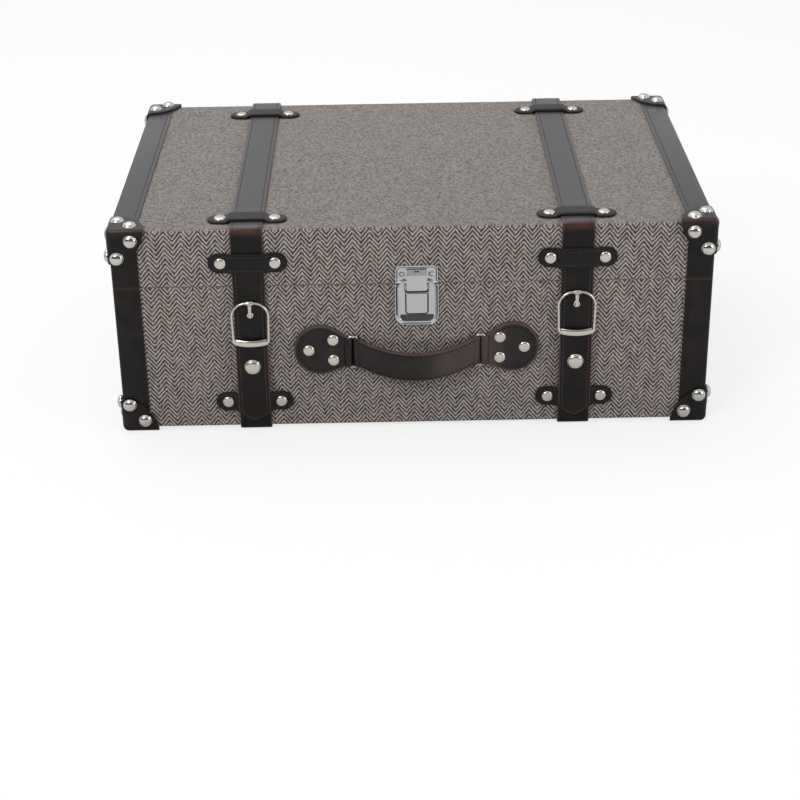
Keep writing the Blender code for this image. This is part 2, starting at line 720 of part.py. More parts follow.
# Flap: the strap's free end, its back lifted clear of what lies beneath it
snap_lift = strap_face + SOCKET_HEIGHT + FIT_GAP
flap_rest_lift = keeper_bridge_face + FIT_GAP
flap_slope = math.atan2(FLAP_LIFT - strap_seat, flap_axis_z - flap_lift_height)


def flap_stations():
    """Stations of the flap from its rounded top edge to its rounded tip."""
    path = []
    half_leather = STRAP_THICKNESS / 2
    for degrees in FLAP_BEND_ANGLES:
        angle = math.radians(degrees)
        thickness = STRAP_THICKNESS * math.cos(angle)
        back = flap_axis_distance - thickness / 2
        path.append((flap_axis_z + half_leather * math.sin(angle), back, STRAP_WIDTH / 2, thickness))
    straights = (
        (flap_axis_z, strap_seat),
        (flap_lift_height, FLAP_LIFT),
        (snap_height + SOCKET_DIAMETER / 2, snap_lift),
        (BASE_KEEPER_HEIGHT + KEEPER_WIDTH / 2, flap_rest_lift))
    path += [(height, back, STRAP_WIDTH / 2, STRAP_THICKNESS) for height, back in straights]
    for step in range(ROUND_END_STEPS):
        angle = math.radians(FLAP_TIP_ANGLE) * step / (ROUND_END_STEPS - 1)
        height = FLAP_TIP_HEIGHT + FLAP_TIP_LENGTH * (1 - math.sin(angle))
        path.append((height, flap_rest_lift, STRAP_WIDTH / 2 * math.cos(angle), STRAP_THICKNESS))
    stations = []
    for index, (height, back, half_width, thickness) in enumerate(path):
        before = path[max(index - 1, 2)]
        after = path[min(index + 1, len(path) - 1)]
        run = math.hypot(before[0] - after[0], after[1] - before[1])
        level = index < 2 or run == 0
        outward = (-1, 0) if level else ((after[0] - before[0]) / run, (after[1] - before[1]) / run)
        stations.append((half_width, (front_y - back, height), outward, thickness))
    return stations


def make_flap(side):
    """Flap with its domed snap cap and the eyelet of its prong hole."""
    strap = bmesh.new()
    add_band(strap, strap_xs[side], flap_stations())
    metal = bmesh.new()
    frame = shifted(FRONT, strap_xs[side], snap_height, snap_lift + STRAP_THICKNESS)
    add_dome(metal, frame, SNAP_DIAMETER, SNAP_CAP_HEIGHT, SNAP_CAP_HEIGHT / 4, STUD_SIDES)
    frame = flap_frame(side, buckle_tops[side] - EYELET_BELOW_BUCKLE_TOP)
    hole = EYELET_HOLE_DIAMETER / 2
    add_tube(metal, EYELET_DIAMETER / 2, hole, -FASTENER_SINK, EYELET_HEIGHT, frame, RIVET_SIDES)
    make_node("strap_flap_" + side, join(strap, metal), LEATHER, flap_axes[side])


def flap_frame(side, height):
    """Frame on the flap's outer face at a height on its sloping stretch, its second axis up the flap."""
    start = shifted(FRONT, strap_xs[side], flap_axis_z, strap_seat)
    run = (height - flap_axis_z) / math.cos(flap_slope)
    return shifted(start @ Matrix.Rotation(-flap_slope, 4, "X"), 0, run, STRAP_THICKNESS)


# Buckles: a wire arch with a flat bowed bar, and a prong that turns about the arch's top
knuckle_bore = BUCKLE_WIRE / 2 + FIT_GAP
knuckle_radius = knuckle_bore + PRONG_WALL
buckle_top_lift = FIT_GAP + knuckle_radius
buckle_foot_lift = FIT_GAP + BUCKLE_WIRE / 2


def buckle_frame_at(side):
    """Frame on the flap's outer face at the centre of the arch's top wire."""
    return shifted(flap_frame(side, buckle_tops[side]), 0, -BUCKLE_WIRE / 2)


def make_buckle_frame(side):
    frame = buckle_frame_at(side)
    wire = BUCKLE_WIRE / 2
    half_top = (BUCKLE_WIDTH - BUCKLE_WIRE) / 2
    half_foot = (BUCKLE_FOOT_WIDTH - BUCKLE_WIRE) / 2
    foot = BUCKLE_BAR_WIDTH / 2 + BUCKLE_BAR_DROP + wire - BUCKLE_LENGTH
    bar = (BUCKLE_BAR_WIDTH / 2, BUCKLE_BAR_THICKNESS / 2)
    path = []
    half_knuckle = PRONG_KNUCKLE_WIDTH / 2 + FIT_GAP
    for step in range(BUCKLE_ARCH_STEPS + 1):
        angle = math.pi * step / BUCKLE_ARCH_STEPS
        straight = math.copysign(half_knuckle, math.pi / 2 - angle)
        across = straight + (half_top - half_knuckle) * math.cos(angle)
        if 2 * step == BUCKLE_ARCH_STEPS:
            path.append((half_knuckle, 0, (wire, wire)))
            across = -half_knuckle
        path.append((across, BUCKLE_ARCH_HEIGHT * (math.sin(angle) - 1), (wire, wire)))
    path.append((-half_foot, foot + BUCKLE_BAR_WIDTH, (wire, wire)))
    for step in range(BUCKLE_BAR_STEPS + 1):
        share = 2 * step / BUCKLE_BAR_STEPS - 1
        bulge = 1 - share * share
        path.append((half_foot * share, foot - BUCKLE_BAR_DROP * bulge, bar))
    path.append((half_foot, foot + BUCKLE_BAR_WIDTH, (wire, wire)))
    rings = []
    for index, (across, along, size) in enumerate(path):
        before, after = path[index - 1], path[(index + 1) % len(path)]
        run = math.hypot(after[0] - before[0], after[1] - before[1])
        side_way = ((after[1] - before[1]) / run, (before[0] - after[0]) / run)
        lift = buckle_foot_lift + (buckle_top_lift - buckle_foot_lift) * max(0, 1 + along / -foot)
        if size is bar:
            lift += BUCKLE_BAR_BOW * (1 - (across / half_foot) ** 2)
        ring = []
        for turn in range(8):
            angle = math.tau * (turn + 1 / 2) / 8
            reach = size[0] * math.cos(angle)
            ring.append((
                across + side_way[0] * reach, along + side_way[1] * reach, lift + size[1] * math.sin(angle)))
        rings.append(ring)
    shape = bmesh.new()
    add_loft(shape, rings, frame, closed=True)
    make_node("buckle_frame_" + side, shape, SATIN_NICKEL, flap_axes[side])


def make_prong(side):
    """Prong: a knuckle round the arch's top wire and a tongue down to the strap's eyelet."""
    frame = shifted(buckle_frame_at(side), 0, 0, buckle_top_lift)
    across_frame = frame @ Matrix.Rotation(math.radians(QUARTER_TURN), 4, "Y")
    half = PRONG_KNUCKLE_WIDTH / 2
    knuckle = bmesh.new()
    add_rod(knuckle, knuckle_radius, -half, half, across_frame)
    tip_lift = EYELET_HEIGHT + FIT_GAP - buckle_top_lift
    root_low = PRONG_WALL - knuckle_radius
    tongue = bmesh.new()
    rings = []
    for along, half_width, low in (
            (-knuckle_bore, PRONG_WIDTH / 2, -PRONG_THICKNESS / 2), (-knuckle_radius * 2, PRONG_WIDTH / 2, root_low),
            (-PRONG_LENGTH, PRONG_TIP_WIDTH / 2, tip_lift)):
        high = low + PRONG_THICKNESS
        rings.append((
            (-half_width, along, low), (half_width, along, low), (half_width, along, high),
            (-half_width, along, high)))
    add_loft(tongue, rings, frame)
    bore = bmesh.new()
    add_rod(bore, knuckle_bore, -half - OVERRUN, half + OVERRUN, across_frame)
    shape = cut(join(knuckle, tongue), bore)
    make_node("buckle_prong_" + side, shape, SATIN_NICKEL, prong_axes[side])


# Latch: a catch plate on the lid, and on the base a plate with a lever that carries the hook
plate_face = FIT_GAP + PLATE_THICKNESS
ear_seat = plate_face + FIT_GAP
ear_face = ear_seat + EAR_ARM_THICKNESS
latch_axis_distance = LEVER_STANDOFF + LEVER_THICKNESS / 2
latch_bore = LATCH_PIN_RADIUS + FIT_GAP
LATCH = shifted(FRONT, LATCH_OFFSET)
LATCH_SIDE = seat((LATCH_OFFSET, front_y, 0), Z, -Y)


def rounded_outline(width, bottom, top, bottom_radius, top_radius):
    """Rectangle centred across, with its corners rounded; a radius of 0 leaves a corner square."""
    points = []
    corners = (
        (1, bottom, bottom_radius, -QUARTER_TURN), (1, top, top_radius, 0),
        (-1, top, top_radius, QUARTER_TURN), (-1, bottom, bottom_radius, HALF_TURN))
    for sign, level, radius, start in corners:
        centre_x = sign * (width / 2 - radius)
        centre_z = level + radius if level == bottom else level - radius
        steps = CORNER_STEPS if radius else 0
        for step in range(steps + 1):
            angle = math.radians(start + QUARTER_TURN * step / max(steps, 1))
            points.append((centre_x + radius * math.cos(angle), centre_z + radius * math.sin(angle)))
    return points


def latch_rod(radius, half_length, height, distance):
    """Rod across the latch at a height and a distance from the case."""
    shape = bmesh.new()
    add_rod(shape, radius, -half_length, half_length, shifted(LATCH_SIDE, height, distance))
    return shape


def make_catch_plate():
    """Plate riveted to the lid, with the ledge that the hook draws down."""
    shape = bmesh.new()
    outline = rounded_outline(CATCH_WIDTH, lid_rim_z + FIT_GAP, catch_top, 0, CATCH_CORNER_RADIUS)
    add_prism(shape, outline, FIT_GAP, plate_face, LATCH)
    half = LEDGE_WIDTH / 2
    low = (-half, ledge_bottom, plate_face - PLATE_THICKNESS / 2)
    ledge = boxes((low, (half, ledge_bottom + LEDGE_HEIGHT, plate_face + LEDGE_REACH)), frame=LATCH)
    rivets = bmesh.new()
    for sign in (-1, 1):
        across = sign * CATCH_RIVET_SPACING / 2
        add_small_rivet(rivets, shifted(LATCH, across, catch_rivet_height, plate_face))
    make_node("latch_catch_plate", join(join(shape, ledge), rivets), CHROME, lid_axis)


def make_latch_base():
    """Plate on the base, with two ears that reach up to the lever's pin."""
    plate_top = base_rim_z - FIT_GAP
    shape = bmesh.new()
    outline = rounded_outline(LATCH_BASE_WIDTH, latch_base_bottom, plate_top, LATCH_BASE_CORNER_RADIUS, 0)
    add_prism(shape, outline, FIT_GAP, plate_face, LATCH)
    inside_plate = plate_face - PLATE_THICKNESS / 2
    head = LATCH_KNUCKLE_RADIUS
    foot = lever_slot_bottom - head
    ear = [(foot, inside_plate), (foot, ear_face), (lever_axis_height - head, ear_face)]
    for step in range(CORNER_STEPS * 2 + 1):
        angle = math.radians(HALF_TURN - HALF_TURN * step / (CORNER_STEPS * 2))
        ear.append((
            lever_axis_height + head * math.cos(angle), latch_axis_distance + head * math.sin(angle)))
    ear += [(lever_axis_height + head, ear_seat), (plate_top, ear_seat), (plate_top, inside_plate)]
    outer = LEVER_SLOT_WIDTH / 2 - FIT_GAP
    for low in (-outer, outer - EAR_WIDTH):
        ear_shape = bmesh.new()
        add_prism(ear_shape, ear, low, low + EAR_WIDTH, LATCH_SIDE)
        shape = join(shape, ear_shape)
    bore = latch_rod(latch_bore, outer + OVERRUN, lever_axis_height, latch_axis_distance)
    make_node("latch_base_plate", cut(shape, bore), CHROME)


def make_lever():
    """Lever with a raised pad, slotted at its top for the ears and the hook, whose pin it holds."""
    face = LEVER_STANDOFF + LEVER_THICKNESS
    shape = bmesh.new()
    outline = rounded_outline(LEVER_WIDTH, lever_bottom, lever_top, LEVER_BOTTOM_RADIUS, LEVER_TOP_RADIUS)
    add_prism(shape, outline, LEVER_STANDOFF, face, LATCH)
    half = LEVER_SLOT_WIDTH / 2
    low = (-half, lever_slot_bottom, LEVER_STANDOFF - OVERRUN)
    shape = cut(shape, boxes((low, (half, lever_top + OVERRUN, face + OVERRUN)), frame=LATCH))
    half = LEVER_PAD_WIDTH / 2
    low = (-half, lever_pad_bottom, face - LEVER_PAD_HEIGHT)
    high = (half, lever_pad_bottom + LEVER_PAD_LENGTH, face + LEVER_PAD_HEIGHT)
    shape = join(shape, boxes((low, high), frame=LATCH))
    reach = LEVER_SLOT_WIDTH / 2 + LATCH_PIN_DEPTH
    shape = cut(shape, latch_rod(latch_bore, reach, lever_axis_height, latch_axis_distance))
    shape = join(shape, latch_rod(LATCH_PIN_RADIUS, reach, hook_axis_height, latch_axis_distance))
    make_node("latch_lever", shape, CHROME, lever_axis)


def make_hook():
    """Hook that hangs on the lever and bends back over the catch plate's ledge."""
    back = latch_axis_distance + latch_bore + HOOK_BACK_WALL
    face = back + HOOK_THICKNESS
    rise = hook_tip_height - hook_bend_height
    lean = math.atan2(face - HOOK_TIP_DISTANCE, rise)
    tip_back = (
        hook_tip_height - HOOK_THICKNESS * math.sin(lean), HOOK_TIP_DISTANCE - HOOK_THICKNESS * math.cos(lean))
    bend_back = (hook_bend_height - HOOK_THICKNESS * math.tan(lean / 2), back)
    foot = hook_axis_height - HOOK_FOOT_BELOW_AXIS
    outline = [
        (foot, back), (foot, face), (hook_bend_height, face), (hook_tip_height, HOOK_TIP_DISTANCE), tip_back,
        bend_back]
    strip = bmesh.new()
    half = HOOK_WIDTH / 2
    add_prism(strip, outline, -half, half, LATCH_SIDE)
    shape = join(strip, latch_rod(LATCH_KNUCKLE_RADIUS, half, hook_axis_height, latch_axis_distance))
    shape = cut(shape, latch_rod(latch_bore, half + OVERRUN, hook_axis_height, latch_axis_distance))
    make_node("latch_hook", shape, CHROME, hook_axis)


def make_lever_pin():
    """Pin through the ears, held in the lever's two shoulders."""
    half = LEVER_SLOT_WIDTH / 2 + LATCH_PIN_DEPTH - FIT_GAP
    shape = latch_rod(LATCH_PIN_RADIUS, half, lever_axis_height, latch_axis_distance)
    make_node("latch_lever_pin", shape, BRIGHT_STEEL)


# Handle: two riveted tabs, a wire ring at each, and a leather grip between the rings
HANDLE = shifted(FRONT, HANDLE_OFFSET)
loop_bore = RING_WIRE / 2 + FIT_GAP
loop_radius = loop_bore + LOOP_LEATHER
ring_reach = RING_SPACING / 2
tab_wire_reach = ring_reach + RING_WIDTH / 2
grip_wire_reach = ring_reach - RING_WIDTH / 2


def leather_loop(sign, reach, radius, half_length):
    """Upright rod about one upright wire of a ring, for a loop of leather or its bore."""
    shape = bmesh.new()
    origin = HANDLE @ Vector((sign * reach, ring_height, RING_STANDOFF))
    add_rod(shape, radius, -half_length, half_length, Matrix.Translation(origin))
    return shape


def tab_rivets(sign):
    """Three rivets through one tab."""
    shape = bmesh.new()
    for reach, rise in (
            (OUTER_TAB_RIVET_REACH, 0), (INNER_TAB_RIVET_REACH, INNER_TAB_RIVET_SPREAD / 2),
            (INNER_TAB_RIVET_REACH, -INNER_TAB_RIVET_SPREAD / 2)):
        add_rivet(shape, shifted(HANDLE, sign * reach, tab_height + rise, FIT_GAP + TAB_THICKNESS))
    return shape


def make_tabs():
    """Riveted teardrop tabs that wrap round the rings' outer wires."""
    for side, sign in (("left", -1), ("right", 1)):
        outline = []
        centre = TAB_REACH - TAB_RADIUS
        for step in range(TAB_ARC_STEPS + 1):
            angle = TAB_TAPER_ANGLE + (math.tau - 2 * TAB_TAPER_ANGLE) * step / TAB_ARC_STEPS
            across = centre - TAB_RADIUS * math.cos(angle)
            outline.append((sign * across, tab_height + TAB_RADIUS * math.sin(angle)))
        outline.append((sign * tab_wire_reach, ring_height - LOOP_LENGTH / 2))
        outline.append((sign * tab_wire_reach, ring_height + LOOP_LENGTH / 2))
        plate = bmesh.new()
        add_prism(plate, outline, FIT_GAP, FIT_GAP + TAB_THICKNESS, HANDLE)
        tab = join(plate, leather_loop(sign, tab_wire_reach, loop_radius, LOOP_LENGTH / 2))
        tab = cut(tab, leather_loop(sign, tab_wire_reach, loop_bore, LOOP_LENGTH / 2 + OVERRUN))
        make_node("handle_tab_" + side, join(tab, tab_rivets(sign)), LEATHER)


def make_rings():
    """Upright rectangular wire rings with rounded corners."""
    half_width = RING_WIDTH / 2
    half_length = RING_LENGTH / 2
    wire = RING_WIRE / 2
    for side, sign in (("left", -1), ("right", 1)):
        rings = []
        for corner_x, corner_z, start in (
                (1, 1, 0), (-1, 1, QUARTER_TURN), (-1, -1, HALF_TURN), (1, -1, -QUARTER_TURN)):
            for step in range(EDGE_STEPS):
                angle = math.radians(start + QUARTER_TURN * step / (EDGE_STEPS - 1))
                out = (math.cos(angle), math.sin(angle))
                across = corner_x * (half_width - RING_CORNER_RADIUS) + RING_CORNER_RADIUS * out[0]
                along = corner_z * (half_length - RING_CORNER_RADIUS) + RING_CORNER_RADIUS * out[1]
                ring = []
                for turn in range(8):
                    around = math.tau * turn / 8
                    reach = wire * math.cos(around)
                    ring.append((across + reach * out[0], along + reach * out[1], wire * math.sin(around)))
                rings.append(ring)
        shape = bmesh.new()
        add_loft(shape, rings, shifted(HANDLE, sign * ring_reach, ring_height, RING_STANDOFF), closed=True)
        make_node("handle_ring_" + side, shape, SATIN_NICKEL)


def grip_section(across):
    """Chamfered section of the grip's leather at a distance across; it stands square where the grip parts."""
    share = 1 - (across / grip_wire_reach) ** 2
    slope = -2 * GRIP_BOW * across / grip_wire_reach ** 2
    tilt = math.atan(slope) if abs(across) < GRIP_HALF_SPAN else 0
    centre = (across, ring_height - GRIP_SAG * share, RING_STANDOFF + GRIP_BOW * share)
    half_width, half_thickness = GRIP_WIDTH / 2, GRIP_THICKNESS / 2
    edge = GRIP_EDGE_RADIUS
    corners = (
        (half_width - edge, half_thickness), (half_width, half_thickness - edge),
        (half_width, edge - half_thickness), (half_width - edge, -half_thickness),
        (edge - half_width, -half_thickness), (-half_width, edge - half_thickness),
        (-half_width, half_thickness - edge), (edge - half_width, half_thickness))
    ring = []
    for up, out in corners:
        ring.append((centre[0] - out * math.sin(tilt), centre[1] + up, centre[2] + out * math.cos(tilt)))
    return ring


def make_grip():
    """The part of the grip that swings."""
    shape = bmesh.new()
    reaches = [GRIP_HALF_SPAN * (2 * step / GRIP_STEPS - 1) for step in range(GRIP_STEPS + 1)]
    add_loft(shape, [grip_section(reach) for reach in reaches], HANDLE)
    make_node("handle_grip", shape, LEATHER, handle_axis)


def make_grip_ends():
    """The grip's two ends, which wrap round the rings' inner wires."""
    for side, sign in (("left", -1), ("right", 1)):
        band = bmesh.new()
        wall_reach = grip_wire_reach - (loop_bore + loop_radius) / 2
        reaches = (sign * (GRIP_HALF_SPAN + FIT_GAP), sign * wall_reach)
        add_loft(band, [grip_section(reach) for reach in reaches], HANDLE)
        end = join(band, leather_loop(sign, grip_wire_reach, loop_radius, LOOP_LENGTH / 2))
        end = cut(end, leather_loop(sign, grip_wire_reach, loop_bore, LOOP_LENGTH / 2 + OVERRUN))
        make_node("handle_end_" + side, end, LEATHER)


# Hinges: two butt hinges on the back, their pins level with the seam
hinge_reach = strap_xs["right"] - STRAP_WIDTH / 2 - HINGE_TO_STRAP - HINGE_WIDTH / 2
hinge_xs = {"left": -hinge_reach, "right": hinge_reach}
hinge_distance = FIT_GAP + HINGE_TUBE_RADIUS
hinge_y = back_y + hinge_distance


def hinge_rivets(hinge_x, sign):
    """Three small rivets through one leaf."""
    shape = bmesh.new()
    height = seam_z + sign * (HINGE_LEAF_HEIGHT + HINGE_TUBE_RADIUS) / 2
    for step in (-1, 0, 1):
        across = step * HINGE_RIVET_SPACING - hinge_x
        add_small_rivet(shape, shifted(BACK, across, height, FIT_GAP + HINGE_LEAF_THICKNESS))
    return shape


def hinge_pin(frame):
    """Pin with a head at each end."""
    end = HINGE_WIDTH / 2
    head_end = end + HINGE_PIN_HEAD_LENGTH
    profile = [
        (HINGE_PIN_HEAD_RADIUS, -head_end), (HINGE_PIN_HEAD_RADIUS, -end), (HINGE_PIN_RADIUS, -end),
        (HINGE_PIN_RADIUS, end), (HINGE_PIN_HEAD_RADIUS, end), (HINGE_PIN_HEAD_RADIUS, head_end)]
    shape = bmesh.new()
    add_turned(shape, profile, frame)
    return shape


def make_hinge_leaf(half, side, sign):
    """Riveted leaf with rolled knuckles: the base's grip the pin, and the lid's turn on it."""
    hinge_x = hinge_xs[side]
    pitch = HINGE_WIDTH / HINGE_KNUCKLES
    tube_frame = seat((hinge_x, hinge_y, seam_z), Y, Z)
    clear = sign * (HINGE_TUBE_RADIUS + FIT_GAP)
    edge = sign * HINGE_LEAF_OVERLAP
    first = 0 if half == "base" else 1
    spans = []
    for index in range(first, HINGE_KNUCKLES, 2):
        start = index * pitch - HINGE_WIDTH / 2
        spans.append((start + FIT_GAP / 2, start + pitch - FIT_GAP / 2))
    outline = [(-HINGE_WIDTH / 2, sign * HINGE_LEAF_HEIGHT), (-HINGE_WIDTH / 2, clear)]
    for low, high in spans:
        outline += [(low, clear), (low, edge), (high, edge), (high, clear)]
    outline += [(HINGE_WIDTH / 2, clear), (HINGE_WIDTH / 2, sign * HINGE_LEAF_HEIGHT)]
    leaf = bmesh.new()
    frame = shifted(BACK, -hinge_x, seam_z)
    add_prism(leaf, outline, FIT_GAP, FIT_GAP + HINGE_LEAF_THICKNESS, frame)
    for low, high in spans:
        knuckle = bmesh.new()
        add_rod(knuckle, HINGE_TUBE_RADIUS, -high, -low, tube_frame)
        leaf = join(leaf, knuckle)
    if half == "base":
        leaf = join(leaf, hinge_pin(tube_frame))
    else:
        bore = bmesh.new()
        add_rod(bore, HINGE_BORE_RADIUS, -HINGE_WIDTH, HINGE_WIDTH, tube_frame)
        leaf = cut(leaf, bore)
    leaf = join(leaf, hinge_rivets(hinge_x, sign))
    make_node("hinge_" + half + "_leaf_" + side, leaf, BRIGHT_STEEL, lid_axis if half == "lid" else None)


# Joint axes
lid_axis = make_axis("lid_axis", (0, hinge_y, seam_z))
flap_axes = {}
prong_axes = {}
for strap_side, strap_x in strap_xs.items():
    place = (strap_x, front_y - flap_axis_distance, flap_axis_z)
    flap_axes[strap_side] = make_axis("strap_flap_axis_" + strap_side, place, lid_axis)
    place = buckle_frame_at(strap_side) @ Vector((0, 0, buckle_top_lift))
    prong_axes[strap_side] = make_axis("buckle_prong_axis_" + strap_side, place, flap_axes[strap_side])
lever_axis = make_axis("latch_lever_axis", (LATCH_OFFSET, front_y - latch_axis_distance, lever_axis_height))
hook_place = (LATCH_OFFSET, front_y - latch_axis_distance, hook_axis_height)
hook_axis = make_axis("latch_hook_axis", hook_place, lever_axis)
handle_place = (HANDLE_OFFSET, front_y - HANDLE_AXIS_DISTANCE, handle_axis_height)
handle_axis = make_axis("handle_axis", handle_place)

# Assembly
make_panels("base", "_floor_panel", base_rim_z, base_bottom_z, 1)
make_panels("lid", "_top_panel", lid_rim_z, lid_top_z, -1)
for half, rim_z, closed_z, inward in (("base", base_rim_z, base_bottom_z, 1), ("lid", lid_rim_z, lid_top_z, -1)):
    make_cover(half, rim_z, closed_z, inward)
    make_lining(half, rim_z, closed_z, inward)
    for side in strap_xs:
        make_trim(half, side, rim_z, closed_z, inward)
make_caps()
for strap_side in strap_xs:
    make_lid_strap(strap_side)
    make_base_strap(strap_side)
    make_flap(strap_side)
    make_buckle_frame(strap_side)
    make_prong(strap_side)
    make_keepers(strap_side)
    make_hinge_leaf("base", strap_side, -1)
    make_hinge_leaf("lid", strap_side, 1)
make_catch_plate()
make_latch_base()
make_lever()
make_hook()
make_lever_pin()
make_tabs()
make_rings()
make_grip()
make_grip_ends()
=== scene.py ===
# %% [markdown]
# A tweed-covered wooden trunk, dressed in leather
# The solids of the trunk are already built and packed. This lesson loads them as a fixed frame and
# dresses them: cloth, leather, thread and polished metal, each as its own piece on its own body.

# %% Frame and modules
import json
import math

import bmesh
import bpy
from mathutils import Matrix, Vector


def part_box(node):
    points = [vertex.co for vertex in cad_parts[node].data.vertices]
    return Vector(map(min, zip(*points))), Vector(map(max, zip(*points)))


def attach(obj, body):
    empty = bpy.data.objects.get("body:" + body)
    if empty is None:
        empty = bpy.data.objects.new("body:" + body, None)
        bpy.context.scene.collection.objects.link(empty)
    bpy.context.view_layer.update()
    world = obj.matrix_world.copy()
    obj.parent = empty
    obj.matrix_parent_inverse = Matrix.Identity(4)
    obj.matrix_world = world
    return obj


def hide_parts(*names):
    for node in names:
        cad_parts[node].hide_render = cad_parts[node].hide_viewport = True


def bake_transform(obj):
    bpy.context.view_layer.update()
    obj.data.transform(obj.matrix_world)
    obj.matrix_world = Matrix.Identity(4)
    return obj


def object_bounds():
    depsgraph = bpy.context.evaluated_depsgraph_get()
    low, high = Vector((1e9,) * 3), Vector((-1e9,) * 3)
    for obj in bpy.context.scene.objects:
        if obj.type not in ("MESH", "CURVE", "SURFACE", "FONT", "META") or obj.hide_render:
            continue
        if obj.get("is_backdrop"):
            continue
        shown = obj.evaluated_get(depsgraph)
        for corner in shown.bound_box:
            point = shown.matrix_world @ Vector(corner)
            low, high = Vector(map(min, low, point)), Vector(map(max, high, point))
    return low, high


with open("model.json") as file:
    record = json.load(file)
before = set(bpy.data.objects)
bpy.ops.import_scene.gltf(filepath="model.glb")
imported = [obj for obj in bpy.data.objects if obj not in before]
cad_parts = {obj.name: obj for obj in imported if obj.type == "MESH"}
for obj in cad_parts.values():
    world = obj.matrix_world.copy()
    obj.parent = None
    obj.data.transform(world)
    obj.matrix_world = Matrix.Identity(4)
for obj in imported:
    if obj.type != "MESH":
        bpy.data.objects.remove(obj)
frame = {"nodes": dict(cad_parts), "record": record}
cad_low, cad_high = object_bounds()
bodies = frame["record"]["behaviour"]["bodies"]
body_of_node = {node: body for body, nodes in bodies.items() for node in nodes}

# %% [markdown]
# Sizes come first. They repeat the sizes of the solids, in metres, so that each dressed piece lies
# where its solid lies. X runs across the front, -Y faces the front and Z is up.

# %% Sizes of the case and its leather
FRONT_Y = -0.1599
BACK_Y = 0.1691
SIDE_X = 0.2485
BASE_BOTTOM_Z = 0.0033
BASE_RIM_Z = 0.1336
LID_RIM_Z = 0.1342
LID_TOP_Z = 0.1842
SEAM_Z = 0.1339
FIT_GAP = 0.0003
COVER_THICKNESS = 0.0012
COVER_RADIUS = 0.0018
TRIM_WIDTH = 0.0227
TRIM_FACE = 0.0014
CAP_THICKNESS = 0.0016
CAP_FACE = 0.0033
CAP_REACH = 0.0315
STRAP_WIDTH = 0.027
STRAP_THICKNESS = 0.0022
STRAP_SEAT = 0.0003
STRAP_XS = {"left": -0.1365, "right": 0.1365}
SIDES = {"left": -1, "right": 1}
X, Y, Z = Vector((1, 0, 0)), Vector((0, 1, 0)), Vector((0, 0, 1))


def seat(origin, across, along):
    """Frame whose first two axes lie in a face and whose third points out of it."""
    axes = Matrix((across, along, across.cross(along))).transposed().to_4x4()
    return Matrix.Translation(Vector(origin)) @ axes


def shifted(place, across=0.0, along=0.0, outward=0.0):
    return place @ Matrix.Translation(Vector((across, along, outward)))


FRONT = seat((0, FRONT_Y, 0), X, Z)
BACK = seat((0, BACK_Y, 0), -X, Z)
TOP = seat((0, 0, LID_TOP_Z), X, Y)
print("case", 2 * SIDE_X, "by", BACK_Y - FRONT_Y, "by", LID_TOP_Z - BASE_BOTTOM_Z, "m")

# %% [markdown]
# Shader maths is easier to read as sums than as boxes and wires. The class below wraps one socket,
# so that an expression such as 1 - mask adds the Math nodes that it needs.


# %% Shader values as expressions
class Value:
    """One number that varies over a surface."""

    def __init__(self, finish, socket):
        self.finish = finish
        self.socket = socket

    def math(self, operation, *others, first=None):
        settings = {"operation": operation}
        values = (self if first is None else first, *others)
        return self.finish.node("ShaderNodeMath", settings, dict(enumerate(values)))

    def __add__(self, other):
        return self.math("ADD", other)

    __radd__ = __add__

    def __sub__(self, other):
        return self.math("SUBTRACT", other)

    def __rsub__(self, other):
        return self.math("SUBTRACT", self, first=other)

    def __mul__(self, other):
        return self.math("MULTIPLY", other)

    __rmul__ = __mul__

    def __truediv__(self, other):
        return self.math("DIVIDE", other)

    def __abs__(self):
        return self.math("ABSOLUTE")

    def fraction(self):
        return self.math("FRACT")

    def floor(self):
        return self.math("FLOOR")

    def power(self, exponent):
        return self.math("POWER", exponent)

    def larger(self, other):
        return self.math("MAXIMUM", other)

    def smaller(self, other):
        return self.math("MINIMUM", other)

    def step(self, low, high):
        """0 under low, 1 over high and smooth between them."""
        settings = {"interpolation_type": "SMOOTHSTEP"}
        values = {"Value": self, "From Min": low, "From Max": high}
        return self.finish.node("ShaderNodeMapRange", settings, values)


